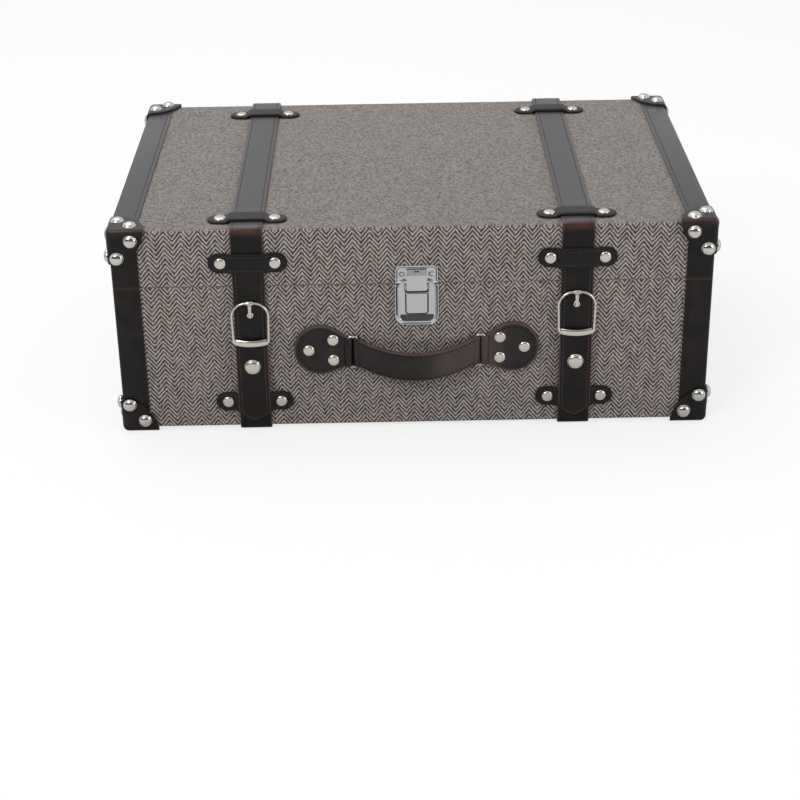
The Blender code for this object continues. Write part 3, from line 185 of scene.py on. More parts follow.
class Finish:
    """A material being built round one Principled shader."""

    def __init__(self, name, metallic=0.0, **constants):
        self.material = bpy.data.materials.new(name)
        self.material.use_nodes = True
        self.tree = self.material.node_tree
        self.shader = self.tree.nodes["Principled BSDF"]
        self.shader.inputs["Metallic"].default_value = metallic
        for words, value in constants.items():
            label = words.replace("_", " ").title().replace("Ior", "IOR")
            self.shader.inputs[label].default_value = value
        self.place = self.node("ShaderNodeTexCoord", output="Object")

    def feed(self, socket, value):
        if isinstance(value, Value):
            self.tree.links.new(value.socket, socket)
        else:
            socket.default_value = value

    def node(self, kind, settings=None, inputs=None, output=0):
        node = self.tree.nodes.new(kind)
        for name, value in (settings or {}).items():
            setattr(node, name, value)
        for key, value in (inputs or {}).items():
            self.feed(node.inputs[key], value)
        return Value(self, node.outputs[output])

    def parts(self, vector):
        split = self.node("ShaderNodeSeparateXYZ", None, {0: vector})
        outputs = split.socket.node.outputs
        return [Value(self, outputs[index]) for index in range(3)]

    def vector(self, x, y, z):
        return self.node("ShaderNodeCombineXYZ", None, {0: x, 1: y, 2: z})

    def stretched(self, x, y, z):
        """The piece's place with each axis multiplied, for streaks and grain."""
        settings = {"operation": "MULTIPLY"}
        return self.node("ShaderNodeVectorMath", settings, {0: self.place, 1: (x, y, z)})

    def noise(self, scale, detail=3.0, roughness=0.55, place=None):
        values = {"Vector": place or self.place, "Scale": scale, "Detail": detail,
                  "Roughness": roughness}
        return self.node("ShaderNodeTexNoise", None, values, "Fac")

    def cells(self, scale):
        return self.node("ShaderNodeTexVoronoi", None, {"Vector": self.place, "Scale": scale},
                         "Distance")

    def attribute(self, name):
        return self.node("ShaderNodeAttribute", {"attribute_name": name}, None, "Fac")

    def mix(self, share, first, second):
        settings = {"data_type": "RGBA"}
        values = {"Factor": share, 6: colour(first), 7: colour(second)}
        return self.node("ShaderNodeMix", settings, values, 2)

    def finish(self, base, roughness, height=None, strength=0.3, distance=0.0002):
        self.feed(self.shader.inputs["Base Color"], colour(base))
        self.feed(self.shader.inputs["Roughness"], roughness)
        if height is not None:
            values = {"Strength": strength, "Distance": distance, "Height": height}
            self.feed(self.shader.inputs["Normal"], self.node("ShaderNodeBump", None, values))
        print("finish:", self.material.name, len(self.tree.nodes), "nodes")
        return self.material


def colour(value):
    """Three numbers gain their alpha; a socket stays as it is."""
    return value if isinstance(value, Value) else (*value, 1.0)


# %% [markdown]
# Herringbone tweed is a twill whose slant turns round in every column of yarns. Each column is a
# set of slanted stripes, light and dark, so one sawtooth across the cloth and one stripe along it
# draw the whole weave. A picture of cloth could do it too, but this one has no edges or repeats
# to hide. The cloth's own UV map is in metres, laid from the seam up and from the seam down,
# which mirrors the weave at the seam.

# %% Tweed
COLUMN_WIDTH = 0.00705
STRIPE_PITCH = 0.0041
TWILL_RISE = 1.24
YARN = 0.00118
LIGHT_YARN = (0.50, 0.455, 0.42)
SHADE_YARN = (0.33, 0.29, 0.27)
DARK_YARN = (0.030, 0.023, 0.022)
RUSSET_YARN = (0.10, 0.060, 0.052)
TOP_FLECKS = 420.0


def make_tweed():
    cloth = Finish("herringbone_tweed", sheen_weight=0.12, sheen_roughness=0.5,
                   specular_ior_level=0.2)
    flat = cloth.node("ShaderNodeUVMap", {"uv_map": "cloth"})
    along, up, _ = cloth.parts(flat)
    wander = (cloth.noise(420.0, 2.0) - 0.5) * 0.0011 + (cloth.noise(45.0, 2.0) - 0.5) * 0.0016
    sawtooth = abs(((along + wander * 0.5) / (2 * COLUMN_WIDTH)).fraction() * 2 - 1)
    slant = up + sawtooth * (COLUMN_WIDTH * TWILL_RISE) + wander
    cycle = slant / STRIPE_PITCH
    stripe = abs(cycle.fraction() * 2 - 1)
    yarn = (along / YARN).floor()
    speck = cloth.node("ShaderNodeTexWhiteNoise", {"noise_dimensions": "3D"},
                       {"Vector": cloth.vector(yarn, cycle.floor(), 0.0)})
    light = stripe + (speck - 0.5) * 0.16 + (cloth.noise(1500.0, 2.0) - 0.5) * 0.35
    light = light.step(0.30, 0.56)
    float_end = abs((along / YARN).fraction() * 2 - 1)
    ridge = 1 - float_end.power(3.0) * 0.5
    mottle = (speck * 0.6 + cloth.noise(900.0, 2.0) * 0.7).step(0.30, 0.95)
    slub = cloth.noise(240.0, 2.0).step(0.58, 0.74)
    pale = cloth.mix(mottle, SHADE_YARN, LIGHT_YARN)
    dark = cloth.mix(slub, DARK_YARN, RUSSET_YARN)
    # On the top face the weave is mixed 70 % towards an even flecked grey: a painted sheen of the
    # nap seen at a low angle.
    height_z = cloth.parts(cloth.place)[2]
    lies_flat = height_z.step(LID_TOP_Z - 0.0006, LID_TOP_Z - 0.0001)
    flecks = cloth.noise(TOP_FLECKS, 3.0, 0.7).step(0.30, 0.66)
    top_sheen_flecks = cloth.mix(flecks, (0.060, 0.050, 0.044), (0.32, 0.295, 0.275))
    woven = cloth.mix(light, dark, pale)
    woven = cloth.mix(lies_flat * 0.70, woven, top_sheen_flecks)
    # The colour is multiplied darker between yarns: painted shade in the grooves, beside the real
    # bump that ridge also gives.
    ends = cloth.mix(ridge.step(0.35, 0.9), SHADE_YARN, (1, 1, 1))
    base = cloth.node("ShaderNodeMix", {"data_type": "RGBA", "blend_type": "MULTIPLY"},
                      {"Factor": 0.45, 6: woven, 7: ends}, 2)
    height = light * 0.5 + ridge * 0.3 + cloth.noise(2600.0, 3.0) * 0.5
    return cloth.finish(base, 0.92, height, 0.55, 0.00028)


tweed = make_tweed()

# %% [markdown]
# The leather is smooth, nearly black and lightly waxed. It shows fine pores, slow changes of
# brown, and bare reddish edges where it was cut. The cut edges are marked on the mesh, face by
# face, so the colour stops exactly where the edge does.

# %% Leather
BROWN_BLACK = (0.0046, 0.0039, 0.0038)
WARM_BROWN = (0.0165, 0.0098, 0.0085)
WORN_RUSSET = (0.085, 0.034, 0.026)
EDGE_PAINT = (0.120, 0.060, 0.050)
PAINTED_SHEEN_BROWN = (0.075, 0.054, 0.050)
PAINTED_SLATE_SHEEN = (0.026, 0.026, 0.032)
PORE_SCALE = 1500.0


def make_leather(name, deep=BROWN_BLACK, warm=WARM_BROWN, gloss=0.38, edge=EDGE_PAINT, wear=1.0,
                 shine=0.30,
                 right_sheen=0.0, top_sheen=1.0):
    hide = Finish(name, specular_ior_level=shine, coat_roughness=0.32)
    drift = hide.noise(70.0, 4.0, 0.6).step(0.35, 0.75)
    pores = hide.cells(PORE_SCALE)
    fine = hide.noise(900.0, 3.0)
    across, deep_y, high_z = hide.parts(hide.place)
    fold = abs(deep_y - FRONT_Y - 0.0004) * 0.8 + abs(high_z - LID_TOP_Z + 0.0012)
    worn = (1 - fold.step(0.0016, 0.0078)) * (0.35 + hide.noise(150.0, 4.0, 0.65) * 0.9) * wear
    at_seam = (1 - abs(high_z - SEAM_Z).step(0.0006, 0.0020)) * abs(across).step(0.224, 0.226) * 0.5
    scuffs = hide.noise(75.0, 5.0, 0.7).step(0.63, 0.74) * 0.12
    body = hide.mix(drift * 0.8, deep, warm)
    # The handle's right part, from about 4 to 85 mm right of the middle, is mixed towards a paler
    # brown: a painted sheen.
    if right_sheen:
        sheen_span = across.step(0.004, 0.030) * (1 - across.step(0.060, 0.085))
        sheen_mask = sheen_span * (0.7 + hide.noise(90.0) * 0.5)
        body = hide.mix(sheen_mask * right_sheen, body, PAINTED_SHEEN_BROWN)
    # Leather lying on the lid's top is mixed towards slate grey: a painted reflection of the bright
    # room. The clear coat there is real gloss; each finish scales both.
    lies_flat = high_z.step(LID_TOP_Z + 0.0006, LID_TOP_Z + 0.0012)
    body = hide.mix(lies_flat * (0.8 * top_sheen), body, PAINTED_SLATE_SHEEN)
    hide.feed(hide.shader.inputs["Coat Weight"], lies_flat * (0.75 * top_sheen))
    body = hide.mix((worn + scuffs + at_seam).smaller(1.0), body, WORN_RUSSET)
    rim = hide.attribute("rim")
    cut = rim * (0.55 + hide.noise(160.0, 3.0) * 0.5)
    base = hide.mix(cut.smaller(1.0), body, edge)
    roughness = gloss + fine * 0.14 + rim * 0.2
    height = pores * 0.5 + fine * 0.5
    return hide.finish(base, roughness, height, 0.26, 0.00014)


leather = make_leather("dark_leather")
cap_leather = make_leather("cap_leather", edge=(0.060, 0.042, 0.036), wear=0.35, top_sheen=0.5)
black_leather = make_leather("black_leather", (0.0060, 0.0054, 0.0054), (0.010, 0.0085, 0.0082),
                             0.36,
                             (0.016, 0.013, 0.012), 0.0, top_sheen=0.15)
# The handle's last number is its share of that painted sheen on the right.
handle_leather = make_leather("handle_leather", (0.0070, 0.0050, 0.0048), (0.022, 0.0140, 0.0125),
                              0.30,
                              (0.098, 0.060, 0.053), 0.0, 0.42, 0.8)

# %% [markdown]
# Metal takes its look from what it mirrors, so its finish is mostly roughness: faint polishing
# streaks and a slow change of gloss. Nickel is a little warm, chrome a little cold.


# %% Metals
def make_metal(name, base, roughness, streak=0.0, along="x"):
    metal = Finish(name, metallic=1.0)
    cut = metal.attribute("rim")
    cloud = metal.noise(130.0, 3.0)
    stretch = {"x": (60.0, 2600.0, 2600.0), "z": (2600.0, 2600.0, 60.0)}[along]
    lines = metal.noise(1.0, 2.0, 0.5, metal.stretched(*stretch))
    shade = tuple(channel * 0.82 for channel in base)
    tint = metal.mix(cloud * 0.5, base, shade)
    # On pressed metal the rim attribute paints light into the colour: over 0 a painted shade, near
    # black, under 0 a painted highlight, near white.
    tint = metal.mix(cut.larger(0.0) * 0.93, tint, tuple(channel * 0.10 for channel in base))
    tint = metal.mix((cut * -1.0).larger(0.0), tint, (0.96, 0.96, 0.97))
    gloss = roughness + (cloud - 0.5) * 0.10 + (lines - 0.5) * streak + cut * 0.15
    return metal.finish(tint, gloss, lines, 0.05 + streak * 0.3, 0.00005)


nickel = make_metal("polished_nickel", (0.78, 0.765, 0.73), 0.17, 0.04)
satin_nickel = make_metal("satin_nickel", (0.82, 0.785, 0.70), 0.25, 0.08)
chrome = make_metal("satin_chrome", (0.68, 0.685, 0.70), 0.17, 0.08, "z")
# A near-black steel that paints the shade where gaps and slots lie in shadow.
painted_shade_metal = make_metal("shadowed_steel", (0.030, 0.030, 0.033), 0.45, 0.05)
steel = make_metal("bright_steel", (0.60, 0.60, 0.60), 0.28, 0.08)

# %% [markdown]
# Inside, the walls are plywood under a plain cotton lining. Plywood shows long grain on its faces
# and thin plies on its edges; cotton is an even weave of fine threads.


# %% Wood, lining and thread
def make_plywood():
    wood = Finish("birch_plywood", specular_ior_level=0.3)
    grain = wood.noise(1.0, 4.0, 0.6, wood.stretched(18.0, 260.0, 260.0))
    rings = abs((grain * 9).fraction() * 2 - 1)
    plies = abs((wood.parts(wood.place)[2] / 0.0012).fraction() * 2 - 1).step(0.3, 0.7)
    tone = wood.mix(rings * 0.6, (0.52, 0.36, 0.20), (0.40, 0.255, 0.13))
    base = wood.mix(plies * 0.12, tone, (0.26, 0.16, 0.08))
    return wood.finish(base, 0.62 + rings * 0.1, rings, 0.12, 0.0001)


def make_lining():
    cotton = Finish("cotton_lining", sheen_weight=0.1, specular_ior_level=0.15)
    across, deep, high = cotton.parts(cotton.place)
    thread = 0.0009
    warp = abs(((across + deep * 0.5) / thread).fraction() * 2 - 1)
    weft = abs(((high + deep * 0.5) / thread).fraction() * 2 - 1)
    weave = warp * 0.5 + weft * 0.5
    base = cotton.mix(weave * 0.6 + cotton.noise(40.0) * 0.3, (0.085, 0.068, 0.060),
                      (0.135, 0.110, 0.098))
    return cotton.finish(base, 0.9, weave, 0.4, 0.0002)


def make_thread(name, dark, pale):
    yarn = Finish(name, specular_ior_level=0.3)
    twist = yarn.noise(1800.0, 2.0)
    base = yarn.mix(twist, dark, pale)
    return yarn.finish(base, 0.55 + twist * 0.15, twist, 0.3, 0.0001)


plywood = make_plywood()
lining = make_lining()
black_thread = make_thread("black_thread", (0.004, 0.004, 0.004), (0.010, 0.009, 0.008))
brown_thread = make_thread("brown_thread", (0.075, 0.050, 0.044), (0.15, 0.105, 0.092))

# %% [markdown]
# Every piece becomes one mesh whose points already stand in their place, so its object stays at
# the origin. This helper makes that object, gives it its finish and its body, and says which
# solids it stands for.

# %% Pieces from meshes
SMOOTH_ANGLE = math.radians(38)
BEVEL_ANGLE = math.radians(35)


def place_piece(name, mesh, finish, body=None, stands_for=(), sharp_over=SMOOTH_ANGLE):
    mesh.name = name
    piece = bpy.data.objects.new(name, mesh)
    bpy.context.scene.collection.objects.link(piece)
    mesh.materials.clear()
    mesh.materials.append(finish)
    mesh.shade_smooth()
    mesh.set_sharp_from_angle(angle=sharp_over)
    if body:
        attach(piece, body)
    for node in stands_for:
        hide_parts(node)
    return piece


def mark_rims(mesh, share_of):
    """Marks each face with how much of it is a cut edge; pressed metal keeps painted shade and
    painted highlight in the same attribute.
    """
    rims = mesh.attributes.new("rim", "FLOAT", "FACE")
    rims.data.foreach_set("value", [float(share_of(face)) for face in mesh.polygons])


def mesh_from(shape, solid=True):
    """Turns a bmesh into a mesh, a solid one the right way out."""
    if solid and shape.calc_volume(signed=True) < 0:
        bmesh.ops.reverse_faces(shape, faces=shape.faces[:])
    mesh = bpy.data.meshes.new("shape")
    shape.to_mesh(mesh)
    shape.free()
    return mesh


def skin(shape, rows, closed=False):
    """Faces between rows of points; the end rows are capped, or joined where the skin is closed."""
    rows = [[shape.verts.new(point) for point in row] for row in rows]
    count = len(rows[0])
    for first, second in zip(rows, rows[1:] + (rows[:1] if closed else [])):
        for index in range(count):
            after = (index + 1) % count
            shape.faces.new((first[index], first[after], second[after], second[index]))
    if not closed:
        shape.faces.new(rows[0][::-1])
        shape.faces.new(rows[-1])
    return shape


def evaluated_mesh(holder):
    """The mesh that an object's modifiers make; the object itself is removed."""
    graph = bpy.context.evaluated_depsgraph_get()
    mesh = bpy.data.meshes.new_from_object(holder.evaluated_get(graph), depsgraph=graph)
    bpy.data.objects.remove(holder, do_unlink=True)
    return mesh


def holder_of(mesh):
    holder = bpy.data.objects.new("holder", mesh)
    bpy.context.scene.collection.objects.link(holder)
    return holder


def softened(mesh, width):
    """The same mesh with its sharp edges rounded by a Bevel modifier."""
    holder = holder_of(mesh)
    bevel = holder.modifiers.new("soft edges", "BEVEL")
    bevel.width = width
    bevel.segments = 2
    bevel.limit_method = "ANGLE"
    bevel.angle_limit = BEVEL_ANGLE
    bevel.use_clamp_overlap = True
    return evaluated_mesh(holder)


def boolean(first, second, operation):
    """Adds, cuts or crosses two meshes with a Boolean modifier."""
    holder, cutter = holder_of(first), holder_of(second)
    modifier = holder.modifiers.new("boolean", "BOOLEAN")
    modifier.operation = operation
    modifier.solver = "EXACT"
    modifier.object = cutter
    mesh = evaluated_mesh(holder)
    bpy.data.objects.remove(cutter, do_unlink=True)
    if not mesh.polygons:
        raise RuntimeError("a Boolean left nothing of its mesh")
    shape = bmesh.new()
    shape.from_mesh(mesh)
    bmesh.ops.triangulate(shape, faces=[face for face in shape.faces if len(face.verts) > 4])
    print("open edges after the Boolean:", sum(1 for edge in shape.edges if not edge.is_manifold))
    shape.to_mesh(mesh)
    shape.free()
    return mesh


# %% [markdown]
# The tweed and the lining are trays of cloth: a box that is open at its rim and rounded along its
# other edges. A block is rounded with a bevel, its rim face is taken off, and the Solidify
# modifier gives the sheet its thickness inwards.

# %% Trays of cloth
CLOTH_STEPS = 5
LID_WEAVE_SHIFT = 0.0015


def rounded_block(low, high, radius, rim_z=None, steps=CLOTH_STEPS):
    """Block with every edge rounded but those of its rim."""
    shape = bmesh.new()
    bmesh.ops.create_cube(shape, size=1.0)
    low, high = Vector(low), Vector(high)
    middle, size = (low + high) / 2, high - low
    for vert in shape.verts:
        vert.co = middle + Vector(a * b for a, b in zip(vert.co, size))
    edges = [edge for edge in shape.edges
             if rim_z is None or any(abs(vert.co.z - rim_z) > FIT_GAP for vert in edge.verts)]
    bmesh.ops.bevel(shape, geom=edges, offset=radius, offset_type="OFFSET", segments=steps,
                    profile=0.5,
                    affect="EDGES")
    return shape


def cloth_tray(name, low, high, rim_z, thickness, finish, body, node):
    """One half's skin of cloth. Its UV map is laid from the seam."""
    shape = rounded_block(low, high, COVER_RADIUS, rim_z)
    rim = [face for face in shape.faces
           if all(abs(vert.co.z - rim_z) < FIT_GAP for vert in face.verts)]
    bmesh.ops.delete(shape, geom=rim, context="FACES_ONLY")
    holder = holder_of(mesh_from(shape, False))
    wall = holder.modifiers.new("cloth thickness", "SOLIDIFY")
    wall.thickness = thickness
    wall.offset = -1.0
    wall.use_even_offset = True
    mesh = evaluated_mesh(holder)
    layer = mesh.uv_layers.new(name="cloth")
    for face in mesh.polygons:
        normal = [abs(part) for part in face.normal]
        flat = normal[2] >= max(normal[:2])
        facing_side = normal[0] > normal[1]
        for loop_index in face.loop_indices:
            point = mesh.vertices[mesh.loops[loop_index].vertex_index].co
            height = abs(point.z - SEAM_Z) + (LID_WEAVE_SHIFT if point.z > SEAM_Z else 0.0)
            if flat:
                spot = (point.x, point.y)
            elif facing_side:
                spot = (point.y + SIDE_X, height)
            else:
                spot = (point.x, height)
            layer.data[loop_index].uv = spot
    return place_piece(name, mesh, finish, body, [node])


cloth_tray("base_tweed", (-SIDE_X, FRONT_Y, BASE_BOTTOM_Z), (SIDE_X, BACK_Y, BASE_RIM_Z),
           BASE_RIM_Z,
           COVER_THICKNESS, tweed, "base", "base_cover")
cloth_tray("lid_tweed", (-SIDE_X, FRONT_Y, LID_RIM_Z), (SIDE_X, BACK_Y, LID_TOP_Z), LID_RIM_Z,
           COVER_THICKNESS, tweed, "lid", "lid_cover")
LINING_THICKNESS = 0.0008
for half in ("base", "lid"):
    low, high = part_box(half + "_lining")
    rim_z = BASE_RIM_Z if half == "base" else LID_RIM_Z
    cloth_tray(half + "_cotton", low, high, rim_z, LINING_THICKNESS, lining, half,
               half + "_lining")
print("cloth trays made")

# %% [markdown]
# The plywood boards have the right shape as they are, so they keep their solids and only gain
# their finish.

# %% Plywood boards
boards = [name for name in frame["nodes"] if name.endswith("_panel")]
for name in boards:
    node = frame["nodes"][name]
    node.data.materials.clear()
    node.data.materials.append(plywood)
print(len(boards), "boards finished")

# %% [markdown]
# The trims are strips of thin leather folded over the ends of both halves. They follow the tweed
# at a fixed distance, so each is cut from a skin round the half: a larger rounded block less a
# smaller one, crossed with a U-shaped cutter.


# %% Leather trims
def inset_loop(points, distance):
    """Closed outline moved inwards by a distance."""
    moved = []
    for index, point in enumerate(points):
        before, after = Vector(points[index - 1]), Vector(points[(index + 1) % len(points)])
        run = (after - before).normalized()
        moved.append((point[0] - run.y * distance, point[1] + run.x * distance))
    return moved


def plate_rows(outline, profile, place):
    """Rows of points on an anticlockwise outline; profile is rows of (inset, level)."""
    return [[place @ Vector((a, b, level)) for a, b in inset_loop(outline, inset)]
            for inset, level in profile]


def plate(outline, profile, place):
    """Closed sheet on an outline."""
    return mesh_from(skin(bmesh.new(), plate_rows(outline, profile, place)))


OVERRUN = 0.004


def case_mesh(offset, rim_z, closed_z, inward, past_rim):
    low_z, high_z = sorted((closed_z - inward * offset, rim_z + inward * past_rim))
    low = (-SIDE_X - offset, FRONT_Y - offset, low_z)
    high = (SIDE_X + offset, BACK_Y + offset, high_z)
    return mesh_from(rounded_block(low, high, COVER_RADIUS + offset, rim_z + inward * past_rim))


def outside_by(point):
    """How far a point stands outside the tweed's rounded box."""
    sides = (SIDE_X - abs(point.x), point.y - FRONT_Y, BACK_Y - point.y, LID_TOP_Z - point.z,
             point.z - BASE_BOTTOM_Z)
    short = [COVER_RADIUS - side for side in sides if side < COVER_RADIUS]
    return Vector((*short, 0.0, 0.0, 0.0)).length - COVER_RADIUS if short else -min(sides)


def make_trim(half, side, rim_z, closed_z, inward):
    edge_front, edge_back = FRONT_Y - TRIM_FACE + TRIM_WIDTH, BACK_Y + TRIM_FACE - TRIM_WIDTH
    edge_z = closed_z - inward * (TRIM_FACE - TRIM_WIDTH)
    beyond, past_rim = closed_z - inward * OVERRUN, rim_z + inward * OVERRUN
    outline = [
        (FRONT_Y - OVERRUN, past_rim), (FRONT_Y - OVERRUN, beyond), (BACK_Y + OVERRUN, beyond),
        (BACK_Y + OVERRUN, past_rim), (edge_back, past_rim), (edge_back, edge_z),
               (edge_front, edge_z),
        (edge_front, past_rim)]
    ends = ((0, -SIDE_X - OVERRUN), (0, TRIM_WIDTH - SIDE_X - TRIM_FACE))
    reach = plate(outline, ends, seat((0, 0, 0), Y, Z))
    shell = boolean(case_mesh(TRIM_FACE, rim_z, closed_z, inward, 0),
                    case_mesh(FIT_GAP, rim_z, closed_z, inward, OVERRUN), "DIFFERENCE")
    mesh = boolean(shell, reach, "INTERSECT")
    if side == "right":
        mesh.transform(Matrix.Scale(-1, 4, X))
        mesh.flip_normals()
    middle = (FIT_GAP + TRIM_FACE) / 2
    mark_rims(mesh, lambda face: abs(outside_by(face.center) - middle) < middle * 0.4)
    name = half + "_trim_" + side
    return place_piece(half + "_binding_" + side, mesh, leather, half, [name])


for side in SIDES:
    make_trim("base", side, BASE_RIM_Z, BASE_BOTTOM_Z, 1)
    make_trim("lid", side, LID_RIM_Z, LID_TOP_Z, -1)
print("trims made")

# %% [markdown]
# Each corner wears a leather cap: one piece folded over three faces, each flap cut to a quarter
# round. One cap is made at the origin and mirrored into the other seven corners.

# %% Corner caps
CAP_STEPS = 6
CORNERS = [(half, depth, side) for half in ("base", "lid") for depth in ("front", "back")
           for side in SIDES]


def corner_frame(half, depth, side):
    """Frame at a corner whose three axes run into the case."""
    sign_x = SIDES[side]
    sign_y = -1 if depth == "front" else 1
    inward = 1 if half == "base" else -1
    closed_z = BASE_BOTTOM_Z if half == "base" else LID_TOP_Z
    face_y = FRONT_Y if depth == "front" else BACK_Y
    origin = (sign_x * (SIDE_X + CAP_FACE), face_y + sign_y * CAP_FACE,
              closed_z - inward * CAP_FACE)
    axes = Matrix((-sign_x * X, -sign_y * Y, inward * Z)).transposed().to_4x4()
    return Matrix.Translation(Vector(origin)) @ axes


def cap_mesh():
    far_side = CAP_REACH + OVERRUN
    radius = COVER_RADIUS + CAP_FACE
    outer = mesh_from(rounded_block((0, 0, 0), (far_side,) * 3, radius, None, CAP_STEPS))
    hollow = ((CAP_THICKNESS,) * 3, (far_side + OVERRUN,) * 3, radius - CAP_THICKNESS)
    inner = mesh_from(rounded_block(*hollow, None, CAP_STEPS))
    ball = bmesh.new()
    turned = Matrix.Rotation(0.03, 4, "Z") @ Matrix.Rotation(0.03, 4, "X")
    bmesh.ops.create_uvsphere(ball, u_segments=72, v_segments=36, radius=CAP_REACH, matrix=turned)
    return boolean(boolean(outer, inner, "DIFFERENCE"), mesh_from(ball), "INTERSECT")


def depth_in_cap(point):
    """How far a point lies under a cap's rounded outer face."""
    radius = COVER_RADIUS + CAP_FACE
    short = [radius - part for part in point if part < radius]
    return radius - Vector((*short, 0.0, 0.0)).length if short else min(point)


cap_source = cap_mesh()
for half, depth, side in CORNERS:
    mesh = cap_source.copy()
    place = corner_frame(half, depth, side)
    mark_rims(mesh, lambda face: abs(depth_in_cap(face.center) - CAP_THICKNESS / 2)
              < CAP_THICKNESS * 0.3)
    mesh.transform(place)
    if place.determinant() < 0:
        mesh.flip_normals()
    name = half + "_" + depth + "_" + side + "_cap"
    place_piece(name + "_leather", mesh, cap_leather, half, [name])
print(len(CORNERS), "caps made")

# %% [markdown]
# Straps, keepers and the grip are strips: a row of stations along a path, each with a section of
# rounded leather. A station says where the strip's back lies, which way is across and which way
# is out, and how wide and thick it is there.

# %% Strips of leather
EDGE_SHARE = 0.32


def section(half_width, thickness, edge):
    """Outline of a strip's section, from its back round its left edge and over its crown."""
    right = [(half_width - edge * 0.4, 0), (half_width, edge * 0.5), (half_width, thickness - edge),
             (half_width - edge * 0.3, thickness - edge * 0.3), (half_width - edge, thickness),
             (half_width * 0.5, thickness + edge * 0.12)]
    left = [(-across, out) for across, out in right[::-1]]
    return right + [(0, thickness + edge * 0.15)] + left


RIM_SPANS = {0, 1, 2, 3, 8, 9, 10, 11}


def strip_shape(stations):
    """Skin of a row of stations; returns a bmesh and the indices of its cut edges' faces."""
    rows = []
    for back, across, outward, half_width, thickness in stations:
        edge = min(thickness * EDGE_SHARE, half_width * 0.5)
        rows.append([back + across * a + outward * o
                     for a, o in section(half_width, thickness, edge)])
    sides = len(rows[0]) * (len(rows) - 1)
    rims = {face for face in range(sides) if face % len(rows[0]) in RIM_SPANS} | {sides, sides + 1}
    return skin(bmesh.new(), rows), rims


def strip(name, stations, finish, body, stands_for=()):
    shape, rims = strip_shape(stations)
    mesh = mesh_from(shape)
    mark_rims(mesh, lambda face: face.index in rims)
    return place_piece(name, mesh, finish, body, stands_for)


def refined(points, longest):
    """Adds stations to a row of (point, *rest) so that none lie further apart than longest."""
    fuller = []
    for first, second in zip(points, points[1:]):
        gap = (second[0] - first[0]).length
        steps = max(1, math.ceil(gap / longest))
        for step in range(steps):
            share = step / steps
            fuller.append(tuple(a + (b - a) * share for a, b in zip(first, second)))
    fuller.append(points[-1])
    return fuller


# %% [markdown]
# Stitches, rivets and studs repeat, so Geometry Nodes places them. One tree walks a line and lays
# a small thread on it at every pitch. The other stands a turned fastener on each point of a mesh,
# facing the way that the point says.


# %% Geometry Nodes trees
def new_tree(name, inputs):
    """Empty tree whose inputs are (name, socket type, default)."""
    tree = bpy.data.node_groups.new(name, "GeometryNodeTree")
    tree.interface.new_socket("Geometry", in_out="INPUT", socket_type="NodeSocketGeometry")
    for words, kind, default in inputs:
        socket = tree.interface.new_socket(words, in_out="INPUT", socket_type=kind)
        if default is not None:
            socket.default_value = default
    tree.interface.new_socket("Geometry", in_out="OUTPUT", socket_type="NodeSocketGeometry")
    return tree, tree.nodes.new("NodeGroupInput"), tree.nodes.new("NodeGroupOutput")


def add_node(tree, kind, settings=None, **inputs):
    node = tree.nodes.new(kind)
    for key, value in (settings or {}).items():
        setattr(node, key, value)
    for key, value in inputs.items():
        socket = node.inputs[key.replace("_", " ")]
        if isinstance(value, bpy.types.NodeSocket):
            tree.links.new(value, socket)
        else:
            socket.default_value = value
    return node


def finish_tree(tree, instances, given, target):
    """Realises the instances, gives them their finish and sends them out."""
    real = add_node(tree, "GeometryNodeRealizeInstances", Geometry=instances)
    dressed = add_node(tree, "GeometryNodeSetMaterial", Geometry=real.outputs[0],
                       Material=given.outputs["Finish"])
    tree.links.new(dressed.outputs[0], target.inputs[0])
    return tree


def stitch_tree():
    tree, given, target = new_tree("stitches", (
        ("Pitch", "NodeSocketFloat", 0.003), ("Stitch Length", "NodeSocketFloat", 0.002),
        ("Thread", "NodeSocketFloat", 0.0006), ("Finish", "NodeSocketMaterial", None)))
    line = add_node(tree, "GeometryNodeMeshToCurve", Mesh=given.outputs["Geometry"])
    spots = add_node(tree, "GeometryNodeCurveToPoints", {"mode": "LENGTH"}, Curve=line.outputs[0],
                     Length=given.outputs["Pitch"])
    aim = add_node(tree, "FunctionNodeAlignRotationToVector", {"axis": "X"},
                   Vector=spots.outputs["Tangent"])
    thread = add_node(tree, "GeometryNodeMeshUVSphere", Segments=6, Rings=4, Radius=0.5)
    size = add_node(tree, "ShaderNodeCombineXYZ", X=given.outputs["Stitch Length"],
                    Y=given.outputs["Thread"],
                    Z=given.outputs["Thread"])
    sized = add_node(tree, "GeometryNodeTransform", Geometry=thread.outputs["Mesh"],
                     Scale=size.outputs[0])
    laid = add_node(tree, "GeometryNodeInstanceOnPoints", Points=spots.outputs["Points"],
                    Instance=sized.outputs[0], Rotation=aim.outputs[0])
    return finish_tree(tree, laid.outputs[0], given, target)


